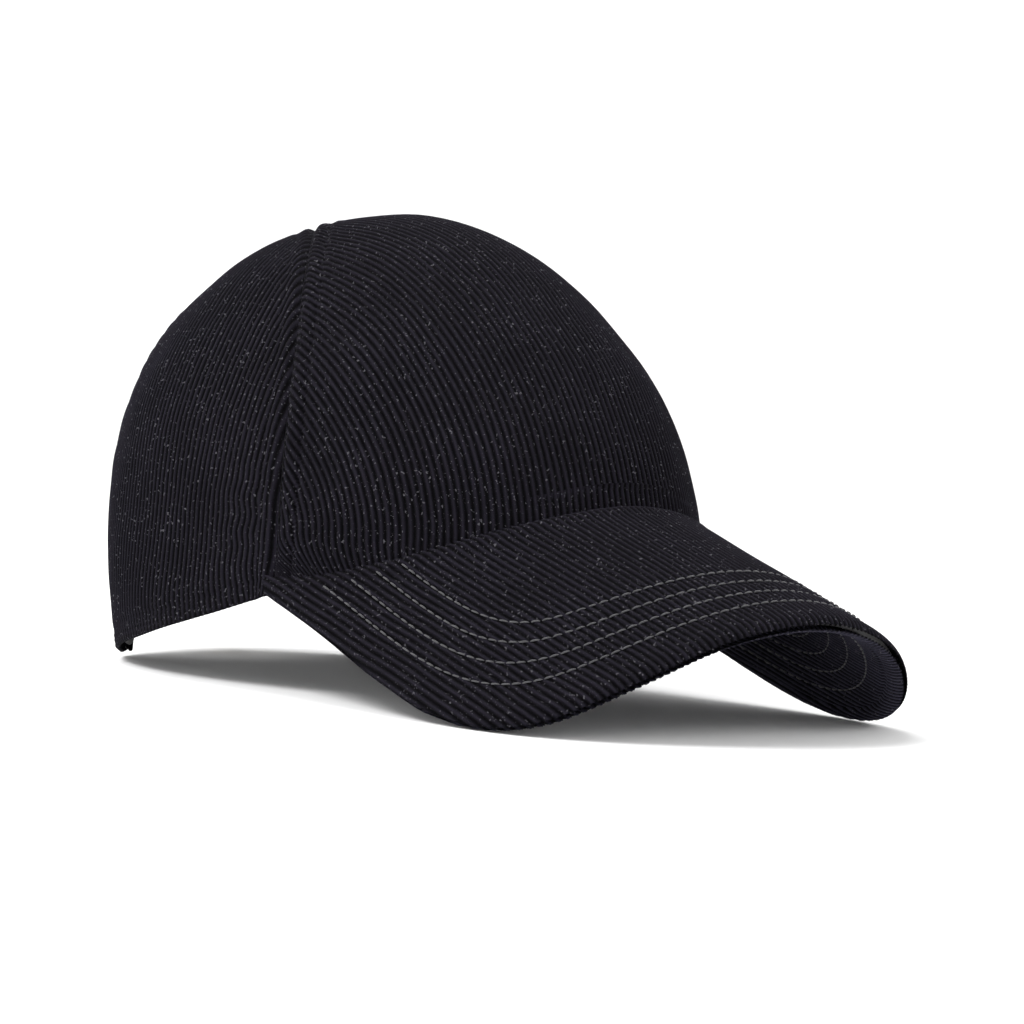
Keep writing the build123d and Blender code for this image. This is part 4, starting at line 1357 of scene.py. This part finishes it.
# --- stage --------------------------------------------------------------------------------------------
def build_stage():
    """A pale floor that sweeps up all round."""
    profile = [(0.0, 0.0), (0.4, 0.0), (1.0, 0.0), (1.8, 0.0)]
    profile += [(1.8 + 1.2 * sind(a), 1.2 - 1.2 * cosd(a)) for a in range(10, 91, 10)]
    profile += [(3.0, 2.2), (3.0, 3.4)]
    sides = 96
    vertices = [(r * math.cos(2 * math.pi * i / sides), r * math.sin(2 * math.pi * i / sides), z)
                for r, z in profile for i in range(sides)]
    faces = grid_faces(len(profile), sides, close=True)
    mesh = bpy.data.meshes.new("studio_floor")
    mesh.from_pydata(vertices, [], faces)
    mesh.polygons.foreach_set("use_smooth", [True] * len(mesh.polygons))
    floor = bpy.data.objects.new("studio_floor", mesh)
    bpy.context.scene.collection.objects.link(floor)
    floor.location.z = -0.0002
    pale, _ = new_material("studio_pale", (0.86, 0.86, 0.86), 0.9)
    floor.data.materials.append(pale)


def area_light(name, bearing, elevation, distance, size, power, tint=(1, 1, 1)):
    data = bpy.data.lights.new(name, "AREA")
    data.shape = "DISK"
    data.size = size
    data.energy = power
    data.color = tint
    lamp = bpy.data.objects.new(name, data)
    flat = distance * cosd(elevation)
    lamp.location = (flat * sind(bearing), -flat * cosd(bearing), distance * sind(elevation))
    aim = -lamp.location.normalized()
    lamp.rotation_euler = aim.to_track_quat("-Z", "Y").to_euler()
    bpy.context.scene.collection.objects.link(lamp)


def build_lights():
    world = bpy.data.worlds.new("soft_white")
    world.use_nodes = True
    world.node_tree.nodes["Background"].inputs[0].default_value = (1, 1, 1, 1)
    world.node_tree.nodes["Background"].inputs[1].default_value = 0.9
    bpy.context.scene.world = world
    area_light("key", -95, 48, 2.2, 0.9, 42)
    area_light("fill", 30, 35, 2.3, 1.2, 12)
    area_light("top", 170, 72, 2.4, 1.4, 22)
    area_light("low", -62, 9, 2.0, 0.8, 12)


CAMERA_AZIMUTH = -43.76
CAMERA_ELEVATION = 1.0
CAMERA_ROLL = -4.09
CAMERA_DISTANCE = 1.0225
CAMERA_LENS = 114.04
CAMERA_TARGET = np.array([0, -0.020, 0.0703])
AIM_RIGHT = 0.0228       # the object stands a little to the left of the middle of the frame
AIM_DOWN = 0.0155


def build_camera():
    back = np.array([sind(CAMERA_AZIMUTH) * cosd(CAMERA_ELEVATION),
                     -cosd(CAMERA_AZIMUTH) * cosd(CAMERA_ELEVATION), sind(CAMERA_ELEVATION)])
    right = np.array([cosd(CAMERA_AZIMUTH), sind(CAMERA_AZIMUTH), 0])
    up = np.cross(back, right)
    rolled_right = cosd(CAMERA_ROLL) * right - sind(CAMERA_ROLL) * up
    rolled_up = sind(CAMERA_ROLL) * right + cosd(CAMERA_ROLL) * up
    forward = -back + rolled_right * AIM_RIGHT - rolled_up * AIM_DOWN
    forward /= np.linalg.norm(forward)
    side = np.cross(forward, rolled_up)
    side /= np.linalg.norm(side)
    top = np.cross(side, forward)
    data = bpy.data.cameras.new("camera")
    data.lens = CAMERA_LENS
    camera = bpy.data.objects.new("camera", data)
    place = CAMERA_TARGET + back * CAMERA_DISTANCE
    rows = [[side[i], top[i], -forward[i], place[i]] for i in range(3)] + [[0, 0, 0, 1]]
    camera.matrix_world = [list(column) for column in zip(*rows)]
    bpy.context.scene.collection.objects.link(camera)
    bpy.context.scene.camera = camera


build_camera()
build_stage()
build_lights()
bpy.context.scene.view_settings.view_transform = "Standard"
CLOTH = corduroy("corduroy_black", GROOVE_PAINTED_SHADE, CREST, LINT)
build_crown(CLOTH, woven("backing_black", (0.022, 0.021, 0.024), 0.0006))
# the brim's under cover gets the paler copy of the cloth, which is painted light
build_brim(CLOTH, corduroy("corduroy_under_painted_light", GROOVE_PAINTED_SHADE, UNDER_CREST_PAINTED_LIGHT, LINT),
           thread("thread_grey", (0.030, 0.029, 0.034)))
build_lining(woven("twill_black", (0.020, 0.020, 0.023)), woven("tape_black", (0.028, 0.028, 0.031), 0.0005),
             woven("buckram_mesh", (0.06, 0.06, 0.062), 0.0011),
             woven("satin_white", (0.62, 0.61, 0.59), 0.0003, 0.45),
             moulded("loop_pile", (0.022, 0.022, 0.024), 0.95, 1100, 0.0006))
build_strap(CLOTH, thread("thread_black", (0.014, 0.013, 0.016)))
build_liner(moulded("foam_grey", (0.050, 0.052, 0.056), 0.9, 900, 0.00025),
            moulded("hook_pile", (0.018, 0.018, 0.020), 0.7, 1300, 0.0006))
METAL = brass("brass_antique")
for node in ("buckle_frame", "buckle_pin", "buckle_lever"):
    paint_node(node, METAL)
paint_node("impact_shell", moulded("abs_black", (0.022, 0.022, 0.024), 0.42, 1600, 0.00006))
paint_node("brim_board", moulded("brim_board_black", (0.012, 0.012, 0.013), 0.5, 700, 0.00005))
